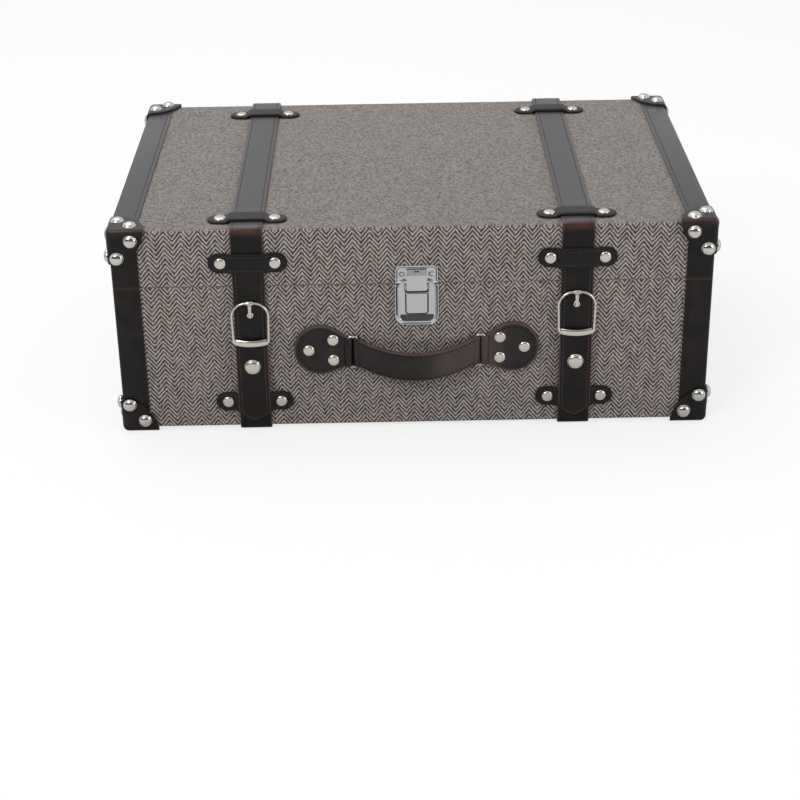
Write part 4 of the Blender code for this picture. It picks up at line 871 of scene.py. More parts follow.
def fastener_tree():
    tree, given, target = new_tree("fasteners", (
        ("Fastener", "NodeSocketObject", None), ("Tilt", "NodeSocketFloat", 0.05),
        ("Seed", "NodeSocketInt", 7), ("Finish", "NodeSocketMaterial", None)))
    facing = add_node(tree, "GeometryNodeInputNamedAttribute", {"data_type": "FLOAT_VECTOR"},
                      Name="facing")
    aim = add_node(tree, "FunctionNodeAlignRotationToVector", {"axis": "Z"},
                   Vector=facing.outputs[0])
    span = add_node(tree, "ShaderNodeCombineXYZ", X=given.outputs["Tilt"], Y=given.outputs["Tilt"],
                    Z=math.pi)
    less = add_node(tree, "ShaderNodeVectorMath", {"operation": "SCALE"}, Vector=span.outputs[0],
                    Scale=-1.0)
    lean = add_node(tree, "FunctionNodeRandomValue", {"data_type": "FLOAT_VECTOR"},
                    Seed=given.outputs["Seed"])
    tree.links.new(less.outputs[0], lean.inputs[0])
    tree.links.new(span.outputs[0], lean.inputs[1])
    turned = add_node(tree, "FunctionNodeRotateRotation", {"rotation_space": "LOCAL"},
                      Rotation=aim.outputs[0],
                      Rotate_By=lean.outputs[0])
    shape = add_node(tree, "GeometryNodeObjectInfo", Object=given.outputs["Fastener"])
    laid = add_node(tree, "GeometryNodeInstanceOnPoints", Points=given.outputs["Geometry"],
                    Instance=shape.outputs["Geometry"], Rotation=turned.outputs[0])
    return finish_tree(tree, laid.outputs[0], given, target)


STITCHES = stitch_tree()
FASTENERS = fastener_tree()


def grown(mesh, tree, values):
    """The mesh that a tree makes from a mesh, with the tree's inputs set by name."""
    holder = holder_of(mesh)
    modifier = holder.modifiers.new(tree.name, "NODES")
    modifier.node_group = tree
    for item in tree.interface.items_tree:
        if item.in_out == "INPUT" and item.name in values:
            modifier[item.identifier] = values[item.name]
    return evaluated_mesh(holder)


print("trees:", STITCHES.name, len(STITCHES.nodes), "and", FASTENERS.name, len(FASTENERS.nodes),
      "nodes")

# %% [markdown]
# A row of stitches is a mesh of lines that the first tree grows, and a group of fasteners is a
# mesh of points for the second. Each kind of fastener is turned once from its profile.


# %% Rows of stitches and groups of fasteners
def sew(name, lines, finish, body, pitch=0.0029, length=0.0020, thread=0.0006):
    """Lays stitches along lines of points; body None leaves the piece without a body."""
    mesh = bpy.data.meshes.new(name)
    points, edges = [], []
    for line in lines:
        first = len(points)
        points += line
        edges += [(first + index, first + index + 1) for index in range(len(line) - 1)]
    mesh.from_pydata(points, edges, [])
    values = {"Pitch": pitch, "Stitch Length": length, "Thread": thread, "Finish": finish}
    return place_piece(name, grown(mesh, STITCHES, values), finish, body)


def turned_fastener(name, profile, segments=28):
    """Fastener turned about its axis; its first point is on the axis below and its last on top."""
    shape = bmesh.new()
    rings = []
    for radius, level in profile[1:-1]:
        rings.append([shape.verts.new((radius * math.cos(math.tau * turn / segments),
                                       radius * math.sin(math.tau * turn / segments), level))
                      for turn in range(segments)])
    foot = shape.verts.new((0, 0, profile[0][1]))
    crown = shape.verts.new((0, 0, profile[-1][1]))
    for index in range(segments):
        after = (index + 1) % segments
        shape.faces.new((foot, rings[0][after], rings[0][index]))
        for low, high in zip(rings, rings[1:]):
            shape.faces.new((low[index], low[after], high[after], high[index]))
        shape.faces.new((rings[-1][index], rings[-1][after], crown))
    template = holder_of(mesh_from(shape))
    template.name = name
    return template


def fasten(name, template, places, finish, body, tilt=0.04, seed=7):
    """Sets a fastener at every frame's origin, standing along its third axis."""
    mesh = bpy.data.meshes.new(name)
    mesh.from_pydata([place.translation for place in places], [], [])
    facing = mesh.attributes.new("facing", "FLOAT_VECTOR", "POINT")
    facing.data.foreach_set("vector", [part for place in places for part in place.col[2][:3]])
    values = {"Fastener": template, "Tilt": tilt, "Seed": seed, "Finish": finish}
    return place_piece(name, grown(mesh, FASTENERS, values), finish, body)


SINK = 0.0004


def dome_profile(radius, rim, height, steps, fullness=1.0):
    """Low brim with a dome on it; fullness over 1 flattens the crown."""
    profile = [(0, -SINK), (radius, -SINK), (radius, rim * 0.6), (radius * 0.96, rim)]
    for step in range(steps):
        angle = math.pi / 2 * (step + 0.4) / steps
        profile.append((radius * 0.93 * math.cos(angle) ** (1 / fullness),
                        rim + (height - rim) * math.sin(angle) ** (1 / fullness)))
    profile.append((0, height))
    return profile


STUD = turned_fastener("dome_stud", dome_profile(0.0058, 0.0006, 0.0034, 9))
RIVET = turned_fastener("flat_rivet", [
    (0, -SINK), (0.0050, -SINK), (0.0050, 0.0004), (0.0048, 0.0008), (0.0044, 0.0012),
                                       (0.0038, 0.0015),
    (0.0031, 0.00165), (0.0020, 0.00168), (0, 0.00168)], 24)
SNAP = turned_fastener("snap_cap", dome_profile(0.0069, 0.0006, 0.0027, 8, 1.35))
print("fasteners turned")

# %% [markdown]
# Six dome studs hold each upper cap and four each lower one, whose underside stays flat because
# the trunk stands on it.

# %% Studs on the caps
UPRIGHT_PAIR = ((0.0082, 0.0262), (0.0202, 0.0112))
LEVEL_PAIR = ((0.0084, 0.0196), (0.0196, 0.0084))


def stud_places(half, depth, side):
    corner = corner_frame(half, depth, side)
    axes = [corner.col[index].xyz for index in range(3)]
    faces = [(1, 0, 2, UPRIGHT_PAIR), (0, 1, 2, UPRIGHT_PAIR)]
    if half == "lid":
        faces.append((2, 0, 1, LEVEL_PAIR))
    places = []
    for face, across, along, pair in faces:
        for aside, away in pair:
            outward = -axes[face]
            spot = corner.translation + axes[across] * aside + axes[along] * away
            sideways = axes[across]
            places.append(seat(spot, sideways, outward.cross(sideways)))
    return places


for half in ("base", "lid"):
    places = [place for corner in CORNERS if corner[0] == half for place in stud_places(*corner)]
    fasten(half + "_studs", STUD, places, nickel, half)
    print(half, "studs:", len(places))

# %% [markdown]
# The long straps start low on the lid's back, run over the top and down the front. Under the
# front keeper the strap becomes a free flap, so it is split there: the upper part rides with the
# lid and the flap is a piece of its own.

# %% Straps on the lid
KEEPER_LAP_Z = 0.1550
BASE_STRAP_TOP_Z = 0.0720
STRAP_END_GAP = 0.001
BEND_STEPS = 8
THREAD_LIFT = 0.0001


def bend(centre_y, centre_z, start, end):
    """Stations' backs and outward ways round one rounded edge of the case."""
    turns = [math.radians(start + (end - start) * step / BEND_STEPS)
             for step in range(BEND_STEPS + 1)]
    ways = [Vector((0, math.cos(angle), math.sin(angle))) for angle in turns]
    return [(Vector((0, centre_y, centre_z)) + way * (COVER_RADIUS + STRAP_SEAT), way)
            for way in ways]


def banded(path, centre_x):
    """Stations of a strap of even width along a path of (back, outward)."""
    return [(back + X * centre_x, X.copy(), outward, STRAP_WIDTH / 2, STRAP_THICKNESS)
            for back, outward in path]


def edge_lines(stations, inset):
    """Two lines of points along a strip, set in from its edges."""
    lines = []
    for sign in (-1, 1):
        lines.append([
            back + across * sign * (half_width - inset) + outward * (thickness + THREAD_LIFT)
            for back, across, outward, half_width, thickness in stations
            if half_width > inset * 1.3])
    return lines


near_back, near_front = BACK_Y - COVER_RADIUS, FRONT_Y + COVER_RADIUS
lid_path = [(Vector((0, BACK_Y + STRAP_SEAT, LID_RIM_Z + STRAP_END_GAP)), Y.copy())]
lid_path += bend(near_back, LID_TOP_Z - COVER_RADIUS, 0, 90)
lid_path += bend(near_front, LID_TOP_Z - COVER_RADIUS, 90, 180)
lid_path.append((Vector((0, FRONT_Y - STRAP_SEAT, KEEPER_LAP_Z)), -Y))
base_path = [(Vector((0, BACK_Y + STRAP_SEAT, BASE_RIM_Z - STRAP_END_GAP)), Y.copy())]
base_path += bend(near_back, BASE_BOTTOM_Z + COVER_RADIUS, 0, -90)
base_path += bend(near_front, BASE_BOTTOM_Z + COVER_RADIUS, -90, -180)
base_path.append((Vector((0, FRONT_Y - STRAP_SEAT, BASE_STRAP_TOP_Z)), -Y))
STITCH_INSET = 0.0030
for side, x in STRAP_XS.items():
    for half, path in (("lid", lid_path), ("base", base_path)):
        stations = refined(banded(path, x), 0.02)
        name = half + "_strap_" + side
        strip(name + "_leather", stations, leather, half, [name])
        sew(name + "_stitches", edge_lines(stations, STITCH_INSET), black_thread, half)
print("straps made")

# %% [markdown]
# The flap hangs from under the front keeper, clears the buckle's socket and the lower keeper, and
# ends in a blunt point. Its leather and stitches are left without a body.

# %% Free ends of the straps
FLAP_TIP_Z = 0.0130
FLAP_LOW_LIFT = 0.0051
FLAP_PATH = (
    (0.1430, STRAP_SEAT), (0.0800, 0.0040), (0.0674, 0.0050), (0.0362, FLAP_LOW_LIFT),
             (0.0215, FLAP_LOW_LIFT))
FLAP_TIP_LENGTH = 0.0085
TIP_STEPS = 7
TIP_NARROWING = 0.68


def flap_stations(x):
    """Stations of a flap from under the keeper to its tip."""
    marks = [(KEEPER_LAP_Z - 0.0002, STRAP_SEAT, STRAP_WIDTH / 2)]
    marks += [(height, lift, STRAP_WIDTH / 2) for height, lift in FLAP_PATH]
    for step in range(1, TIP_STEPS + 1):
        share = step / TIP_STEPS
        width = STRAP_WIDTH / 2 * (1 - TIP_NARROWING * share ** 1.7)
        marks.append((FLAP_TIP_Z + FLAP_TIP_LENGTH * (1 - share), FLAP_LOW_LIFT, width))
    stations = []
    for index, (height, lift, half_width) in enumerate(marks):
        before, after = marks[max(index - 1, 0)], marks[min(index + 1, len(marks) - 1)]
        run = Vector((0, before[1] - after[1], after[0] - before[0])).normalized()
        outward = Vector((0, run.z, -run.y))
        if outward.y > 0:
            outward = -outward
        stations.append((Vector((x, FRONT_Y - lift, height)), X.copy(), outward, half_width,
                         STRAP_THICKNESS))
    return refined(stations, 0.003)


for side, x in STRAP_XS.items():
    stations = flap_stations(x)
    flap = strip("strap_end_" + side, stations, leather, None, ["strap_flap_" + side])
    threads = sew("strap_end_stitches_" + side, edge_lines(stations, STITCH_INSET), brown_thread,
                  None)
    for piece in (flap, threads):
        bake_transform(piece)
print("flaps made")

# %% [markdown]
# Keepers are short round-ended straps that hold the long ones down. Each lies on the cloth at its
# ends, climbs over the strap in the middle, and is stitched along both edges.

# %% Keepers
KEEPER_LENGTH = 0.0660
KEEPER_WIDTH = 0.0172
KEEPER_THICKNESS = 0.0020
KEEPER_BRIDGE = 0.0148
KEEPER_RAMP = 0.0026
KEEPER_BRIDGE_SEAT = 0.0028
KEEPER_RIVETS = 0.0226
RAMP_STEPS = 5
ROUND_END = math.radians(84)
SEAM_INSET = 0.0026
KEEPER_STITCH = (0.0026, 0.0012, 0.0005)
ROUND_STEPS = 8


def keeper_stations(place):
    end_radius = KEEPER_WIDTH / 2
    straight = KEEPER_LENGTH / 2 - end_radius
    half = [(0, end_radius, KEEPER_BRIDGE_SEAT),
            (KEEPER_BRIDGE - 0.002, end_radius, KEEPER_BRIDGE_SEAT)]
    for step in range(1, RAMP_STEPS + 1):
        share = step / RAMP_STEPS
        ease = share * share * (3 - 2 * share)
        half.append((KEEPER_BRIDGE - 0.001 + (KEEPER_RAMP + 0.002) * share, end_radius,
                     KEEPER_BRIDGE_SEAT + (FIT_GAP - KEEPER_BRIDGE_SEAT) * ease))
    for step in range(ROUND_STEPS):
        angle = ROUND_END * step / (ROUND_STEPS - 1)
        half.append((straight + end_radius * math.sin(angle), end_radius * math.cos(angle),
                     FIT_GAP))
    rows = [(-along, width, back) for along, width, back in half[:0:-1]] + half
    across, along_way, outward = (place.col[index].xyz for index in (1, 0, 2))
    return [(place.translation + along_way * along + outward * back, across, outward, width,
             KEEPER_THICKNESS) for along, width, back in rows]


keeper_rivets = {"base": [], "lid": []}
for side, x in STRAP_XS.items():
    for stem, body, place in (
            ("base_keeper_", "base", shifted(FRONT, x, 0.0276)),
            ("front_keeper_", "lid", shifted(FRONT, x, 0.1553)),
            ("top_front_keeper_", "lid", shifted(TOP, x, FRONT_Y + 0.0204)),
            ("top_back_keeper_", "lid", shifted(TOP, x, BACK_Y - 0.0347))):
        stations = keeper_stations(place)
        strip(stem + side + "_leather", stations, black_leather, body, [stem + side])
        middle = [s for s in stations if s[3] > KEEPER_WIDTH / 2 - 0.0008]
        sew(stem + side + "_stitches", edge_lines(middle, SEAM_INSET), brown_thread, body,
            *KEEPER_STITCH)
        for sign in (-1, 1):
            rivet = shifted(place, sign * KEEPER_RIVETS, 0, FIT_GAP + KEEPER_THICKNESS)
            keeper_rivets[body].append(rivet)
print("keepers made")

# %% [markdown]
# The buckle is one piece of bright wire bent to an arch, closed by a flat bar that bows outwards
# over the strap. Its section changes from round to flat, so it is skinned ring by ring.

# %% Buckles
BUCKLE_TOPS = {"left": 0.1216, "right": 0.1265}
BUCKLE_WIRE = 0.0021
HALF_TOP = (0.0330 - BUCKLE_WIRE) / 2
HALF_FOOT = (0.0316 - BUCKLE_WIRE) / 2
BAR_WIDTH = 0.0052
BAR_THICKNESS = 0.0014
BAR_BOW = 0.0028
BAR_DROP = 0.0013
ARCH_HEIGHT = 0.0125
ARCH_STEPS = 28
SIDE_STEPS = 7
BAR_STEPS = 18
BUCKLE_LENGTH = 0.0395
HALF_KNUCKLE = 0.0031
TOP_LIFT = 0.00235
FOOT_LIFT = 0.00135
(slope_top, _), (slope_foot, slope_lift) = FLAP_PATH[:2]
FLAP_SLOPE = math.atan2(slope_lift - STRAP_SEAT, slope_top - slope_foot)
WIRE_SIDES = 14


def flap_frame(side, height):
    """Frame on the flap's outer face at a height on its sloping stretch."""
    start = shifted(FRONT, STRAP_XS[side], slope_top, STRAP_SEAT)
    run = (height - slope_top) / math.cos(FLAP_SLOPE)
    return shifted(start @ Matrix.Rotation(-FLAP_SLOPE, 4, "X"), 0, run, STRAP_THICKNESS)


def wire_loop(rows, place):
    """Closed wire through rows of (across, along, lift, half width, half thickness)."""
    rings = []
    for index, (across, along, lift, wide, thick) in enumerate(rows):
        before, after = rows[index - 1], rows[(index + 1) % len(rows)]
        run = Vector((after[0] - before[0], after[1] - before[1])).normalized()
        blunt = 0.8 if wide > thick * 1.2 else 1
        ring = []
        for turn in range(WIRE_SIDES):
            angle = math.tau * (turn + 0.5) / WIRE_SIDES
            reach = wide * math.copysign(abs(math.cos(angle)) ** blunt, math.cos(angle))
            rise = thick * math.copysign(abs(math.sin(angle)) ** blunt, math.sin(angle))
            ring.append(place @ Vector((across + run.y * reach, along - run.x * reach,
                                        lift + rise)))
        rings.append(ring)
    return mesh_from(skin(bmesh.new(), rings, True))


def buckle_rows():
    wire = BUCKLE_WIRE / 2
    foot = BAR_WIDTH / 2 + BAR_DROP + wire - BUCKLE_LENGTH
    flat = []
    for step in range(ARCH_STEPS + 1):
        angle = math.pi * step / ARCH_STEPS
        straight = HALF_KNUCKLE * (1 if angle < math.pi / 2 else -1)
        across = straight + (HALF_TOP - HALF_KNUCKLE) * math.cos(angle)
        flat.append((across, ARCH_HEIGHT * (math.sin(angle) - 1), 0, wire, wire))
        if step == ARCH_STEPS // 2:
            flat.append((-HALF_KNUCKLE, 0, 0, wire, wire))
    for step in range(1, SIDE_STEPS):
        share = step / SIDE_STEPS
        flat.append((-HALF_TOP + (HALF_TOP - HALF_FOOT) * share,
                     -ARCH_HEIGHT + (foot + BAR_WIDTH * 0.75 + ARCH_HEIGHT) * share, 0, wire, wire))
    left_side = flat[1 - SIDE_STEPS:]
    for step in range(BAR_STEPS + 1):
        share = 2 * step / BAR_STEPS - 1
        bulge = 1 - share * share
        blunt = min(1.0, (1 - abs(share)) * 7 + 0.45)
        flat.append((HALF_FOOT * share, foot - BAR_DROP * bulge, BAR_BOW * bulge,
                     max(wire, BAR_WIDTH / 2 * blunt), BAR_THICKNESS / 2 + 0.0003 * (1 - bulge)))
    flat += [(-row[0], *row[1:]) for row in left_side[::-1]]
    rows = []
    for across, along, bow, wide, thick in flat:
        lift = FOOT_LIFT + (TOP_LIFT - FOOT_LIFT) * max(0, 1 + along / -foot) + bow
        rows.append((across, along, lift, wide, thick))
    return rows


for side in SIDES:
    place = shifted(flap_frame(side, BUCKLE_TOPS[side]), 0, -BUCKLE_WIRE / 2)
    body = "strap_flap_" + side
    place_piece("buckle_wire_" + side, wire_loop(buckle_rows(), place), satin_nickel,
                body,
                ["buckle_frame_" + side])
print("buckles made")

# %% [markdown]
# Small metal parts whose solids already have the right shape are copied, cleaned of the loose
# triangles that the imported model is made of, and given soft edges that catch the light.


# %% Soft-edged metal copies
WELD = 0.000005
FLAT_ANGLE = math.radians(1.5)


def soft_copy(node, name, finish, width=0.00022, body=None, sharp_over=SMOOTH_ANGLE):
    shape = bmesh.new()
    shape.from_mesh(frame["nodes"][node].data)
    bmesh.ops.remove_doubles(shape, verts=shape.verts[:], dist=WELD)
    bmesh.ops.dissolve_limit(shape, angle_limit=FLAT_ANGLE, verts=shape.verts[:],
                              edges=shape.edges[:])
    mesh = softened(mesh_from(shape), width)
    return place_piece(name, mesh, finish, body or body_of_node[node], [node], sharp_over)


for side in SIDES:
    soft_copy("buckle_prong_" + side, "buckle_tongue_" + side, satin_nickel,
              0.00015)
    soft_copy("hinge_base_leaf_" + side, "hinge_lower_" + side, steel)
    soft_copy("hinge_lid_leaf_" + side, "hinge_upper_" + side, steel)
PRESSED_ANGLE = math.radians(11)


def paint_pressing_light(mesh, hollow=None, upward_painted_light=-0.9):
    """Paints light into pressed sheet: painted shade in hollows and on walls and slopes that face
    down or left, painted highlight on walls that face up or right; slopes that face up or right
    take the given value, a painted highlight under 0 and a painted shade over 0.
    """
    marks = mesh.attributes.new("rim", "FLOAT", "FACE")
    values = []
    for face in mesh.polygons:
        leaning = math.hypot(face.normal.x, face.normal.z)
        towards = face.normal.z * 0.8 + face.normal.x * 0.6
        if hollow and hollow(face.center):
            value = 1.0
        elif leaning > 0.93:
            value = 0.6 if towards < 0.2 else -0.2
        elif leaning > 0.2:
            value = upward_painted_light if towards > 0 else 0.75
        else:
            value = 0.0
        values.append(value)
    marks.data.foreach_set("value", values)


for node, name in (("latch_base_plate", "latch_back_plate"),
                   ("latch_catch_plate", "latch_upper_plate"),
                   ("latch_hook", "latch_tongue")):
    piece = soft_copy(node, name, chrome, 0.00018, None, PRESSED_ANGLE)
    # The hook's upward slope takes painted shade, the plates' upward slopes a painted highlight.
    paint_pressing_light(piece.data, None, 0.45 if node == "latch_hook" else -0.9)
soft_copy("latch_lever_pin", "latch_pin", steel, 0.0001)
print("metal copies made")

# %% [markdown]
# The latch's lever is pressed from one sheet: a rounded rim, two flat rails beside the slot for the
# hook, a raised pad, and a scooped lip for the finger. The dark cut lines round the pad are a
# near-black sheet under it, painted shade, and the scoop's hollow takes painted shade too. Loops
# drawn inwards from one outline at chosen levels make the rim, and a wedge cuts the scoop.

# %% Latch lever
LATCH = shifted(FRONT, 0.0030)
LEVER_WIDTH = 0.0330
LEVER_BOTTOM = 0.1004
LEVER_TOP = 0.1372
LEVER_TOP_RADIUS = 0.0069
LEVER_BOTTOM_RADIUS = 0.0070
LEVER_THICKNESS = 0.0022
LEVER_STANDOFF = 0.0032
SLOT_WIDTH = 0.0192
SLOT_BOTTOM = 0.1278
PAD_WIDTH = 0.0176
PAD_BOTTOM = 0.1089
PAD_TOP = 0.1277
SCOOP_WIDTH = 0.0282
SCOOP_BOTTOM = 0.1014
SCOOP_TOP = 0.1077
SCOOP_DEPTH = 0.0009
SCOOP_LIP = 0.0001
SHOULDER_TIP_RADIUS = 0.0014
RIM_PROFILE = ((0, 0), (0, 0.0014), (0.00015, 0.0018), (0.0004, 0.0021), (0.0007, 0.0021),
               (0.00095, 0.0018),
               (0.0011, 0.0014))


def arc(centre_a, centre_b, radius, start, end, steps=8):
    return [(centre_a + radius * math.cos(math.radians(start + (end - start) * step / steps)),
             centre_b + radius * math.sin(math.radians(start + (end - start) * step / steps)))
            for step in range(steps + 1)]


OUTLINE_STEP = 0.0012


def with_points(outline):
    """The outline with points no further apart than OUTLINE_STEP."""
    fuller = []
    for first, second in zip(outline, outline[1:] + outline[:1]):
        steps = max(1, math.ceil(math.dist(first, second) / OUTLINE_STEP))
        fuller += [tuple(a + (b - a) * step / steps for a, b in zip(first, second))
                   for step in range(steps)]
    return fuller


def rounded_outline(width, bottom, top, bottom_radius, top_radius):
    half = width / 2
    return with_points(
        arc(half - bottom_radius, bottom + bottom_radius, bottom_radius, -90, 0)
        + arc(half - top_radius, top - top_radius, top_radius, 0, 90)
        + arc(top_radius - half, top - top_radius, top_radius, 90, 180)
        + arc(bottom_radius - half, bottom + bottom_radius, bottom_radius, 180, 270))


def lever_outline():
    half, slot = LEVER_WIDTH / 2, SLOT_WIDTH / 2
    top, low, turn = LEVER_TOP_RADIUS, LEVER_BOTTOM_RADIUS, 0.0010
    tip = SHOULDER_TIP_RADIUS
    shoulder = math.degrees(math.acos((slot + tip - half + top) / (top - tip)))
    tip_height = LEVER_TOP - top + (top - tip) * math.sin(math.radians(shoulder))
    right = (arc(half - low, LEVER_BOTTOM + low, low, -90, 0, 10)
             + arc(half - top, LEVER_TOP - top, top, 0, shoulder, 10)[:-1]
             + arc(slot + tip, tip_height, tip, shoulder, 180, 6)
             + arc(slot - turn, SLOT_BOTTOM + turn, turn, 0, -90, 4))
    left = [(-across, along) for across, along in right[::-1]]
    return with_points(right + left)


lever_place = shifted(LATCH, 0, 0, LEVER_STANDOFF)
lever_mesh = plate(lever_outline(), RIM_PROFILE, lever_place)
scoop_top = RIM_PROFILE[-1][1] - SCOOP_LIP
scoop_middle = lever_place @ Vector((0, 0, scoop_top - SCOOP_DEPTH / 2))
floor_row, upper_row = [], []
for across, along in rounded_outline(SCOOP_WIDTH, SCOOP_BOTTOM, SCOOP_TOP, 0.0046, 0.0012):
    depth = SCOOP_DEPTH * (along - SCOOP_BOTTOM) / (SCOOP_TOP - SCOOP_BOTTOM)
    floor_row.append(lever_place @ Vector((across, along, scoop_top - depth)))
    upper_row.append(lever_place @ Vector((across, along, LEVER_THICKNESS + SCOOP_DEPTH)))
scoop = mesh_from(skin(bmesh.new(), [floor_row, upper_row]))
lever_mesh = boolean(lever_mesh, scoop, "DIFFERENCE")
# The scoop's hollow takes painted shade.
paint_pressing_light(lever_mesh, lambda spot: SCOOP_BOTTOM < spot.z < SCOOP_TOP
              and abs(spot.x - scoop_middle.x) < SCOOP_WIDTH / 2
              and abs(spot.y - scoop_middle.y) < SCOOP_DEPTH / 2)
place_piece("latch_flap", lever_mesh, chrome, "latch_lever", ["latch_lever"],
            PRESSED_ANGLE)
# A near-black sheet under the pad, a little wider than it, paints the shade in the cut lines round
# the pad.
PAD_GAP = 0.0010
gap_outline = rounded_outline(PAD_WIDTH + 2 * PAD_GAP, PAD_BOTTOM - PAD_GAP, PAD_TOP + 0.0001,
                              0.0026, 0.0003)
place_piece("latch_flap_gap", plate(gap_outline, ((0, 0.0012), (0, 0.00175)), lever_place),
            painted_shade_metal,
            "latch_lever")
pad_outline = rounded_outline(PAD_WIDTH, PAD_BOTTOM, PAD_TOP, 0.0020, 0.0004)
PAD_PROFILE = ((0, 0.0012), (0, 0.0023), (0.00012, 0.00255), (0.0004, 0.00275), (0.0009, 0.0028))
place_piece("latch_flap_pad", plate(pad_outline, PAD_PROFILE, lever_place), chrome,
            "latch_lever", (), PRESSED_ANGLE)


def rim_profile(crest, panel):
    """Raised rim with a lower panel inside it."""
    return ((0, 0.0009), (0, crest - 0.0003), (0.0002, crest - 0.00005), (0.0005, crest),
            (0.0009, crest),
            (0.0012, crest - 0.0002), (0.0019, panel))


plate_place = shifted(LATCH, 0, 0, FIT_GAP)
for name, outline, crest, body in (
        ("latch_upper_rim", rounded_outline(0.0356, 0.1345, 0.1503, 0.0010, 0.0045), 0.0020, "lid"),
        ("latch_lower_rim", rounded_outline(0.0367, 0.0967, 0.1333, 0.0080, 0.0010), 0.0016,
         "base")):
    mesh = plate(outline, rim_profile(crest, 0.00125), plate_place)
    # Upward slopes of the rims take painted highlight, downward ones painted shade.
    paint_pressing_light(mesh)
    place_piece(name, mesh, chrome, body, (), PRESSED_ANGLE)
HOOK_SLOPE = math.radians(36)
# A near-black plate on the hook's slope paints the shade of its slot.
slot_place = shifted(LATCH, 0, 0.1460, 0.0043) @ Matrix.Rotation(-HOOK_SLOPE, 4, "X")
place_piece("latch_tongue_slot", plate(rounded_outline(0.0044, -0.0005, 0.0005, 0.0004, 0.0004),
                                               ((0, -0.0004), (0, 0.0001)), slot_place),
            painted_shade_metal, "latch_hook")
print("latch lever made")

# %% [markdown]
# The handle hangs from two wire rings. Each ring is held by a teardrop tab riveted to the front,
# and the grip's ends wrap round the rings' inner wires.

# %% Handle rings and tabs
HANDLE = shifted(FRONT, 0.0023)
RING_REACH = 0.0539
RING_HEIGHT = 0.0735
RING_WIDTH = 0.0072
RING_LENGTH = 0.0276
RING_CORNER = 0.0022
RING_WIRE = 0.0020
RING_STANDOFF = 0.0036
CORNER_STEPS = 6
LOOP_RADIUS = 0.0035
LOOP_BORE = 0.0014
LOOP_LENGTH = 0.0256
TAB_CENTRE = 0.0811
TAB_RADIUS = 0.0225
TAB_HEIGHT = 0.0754
TAB_THICKNESS = 0.0035
TAB_TAPER = math.radians(65)
TAB_EDGE = 0.0015
TAB_STEPS = 40
TAB_SEAM_INSET = 0.0038
TAB_RIVETS = ((0.0910, 0), (0.0703, 0.0093), (0.0703, -0.0093))
HANDLE_STITCH = (0.0036, 0.0025, 0.0011)


def ring_rows():
    rows = []
    for corner_x, corner_z, start in ((1, 1, 0), (-1, 1, 90), (-1, -1, 180), (1, -1, 270)):
        for step in range(CORNER_STEPS + 1):
            angle = math.radians(start + 90 * step / CORNER_STEPS)
            rows.append((corner_x * (RING_WIDTH / 2 - RING_CORNER) + RING_CORNER * math.cos(angle),
                         corner_z * (RING_LENGTH / 2 - RING_CORNER) + RING_CORNER * math.sin(angle),
                         0, RING_WIRE / 2, RING_WIRE / 2))
    return rows


LOOP_SIDES = 20


def leather_plate(outline, thickness, edge, place):
    """Flat leather on an outline, its upper edge rounded over, and its edge's face indices."""
    profile = ((0, 0), (0, thickness - edge), (edge * 0.12, thickness - edge * 0.5),
               (edge * 0.45, thickness - edge * 0.12), (edge, thickness), (edge * 2.6, thickness))
    rims = set(range((len(profile) - 2) * len(outline)))
    return skin(bmesh.new(), plate_rows(outline, profile, place)), rims


def add_loop(shape, place):
    """Leather rolled round a wire that stands along the frame's second axis."""
    rings = []
    for radius, level in ((LOOP_BORE, -1), (LOOP_RADIUS - 0.0004, -1), (LOOP_RADIUS, -0.96),
                          (LOOP_RADIUS, 0.96), (LOOP_RADIUS - 0.0004, 1), (LOOP_BORE, 1)):
        rings.append([shape.verts.new(place @ Vector((
            radius * math.cos(math.tau * step / LOOP_SIDES), level * LOOP_LENGTH / 2,
            radius * math.sin(math.tau * step / LOOP_SIDES)))) for step in range(LOOP_SIDES)])
    for first, second in zip(rings, rings[1:] + rings[:1]):
        for index in range(LOOP_SIDES):
            after = (index + 1) % LOOP_SIDES
            shape.faces.new((first[index], second[index], second[after], first[after]))


def tab_outline(sign):
    outline = []
    for step in range(TAB_STEPS + 1):
        angle = TAB_TAPER + (math.tau - 2 * TAB_TAPER) * step / TAB_STEPS
        outline.append((TAB_CENTRE - TAB_RADIUS * math.cos(angle),
                        TAB_HEIGHT + TAB_RADIUS * math.sin(angle)))
    wire = RING_REACH + RING_WIDTH / 2
    outline.append((wire, RING_HEIGHT - LOOP_LENGTH / 2))
    outline.append((wire, RING_HEIGHT + LOOP_LENGTH / 2))
    outline = [(sign * a, b) for a, b in outline]
    area = sum(a[0] * b[1] - b[0] * a[1] for a, b in zip(outline, outline[1:] + outline[:1]))
    return outline if area > 0 else outline[::-1]


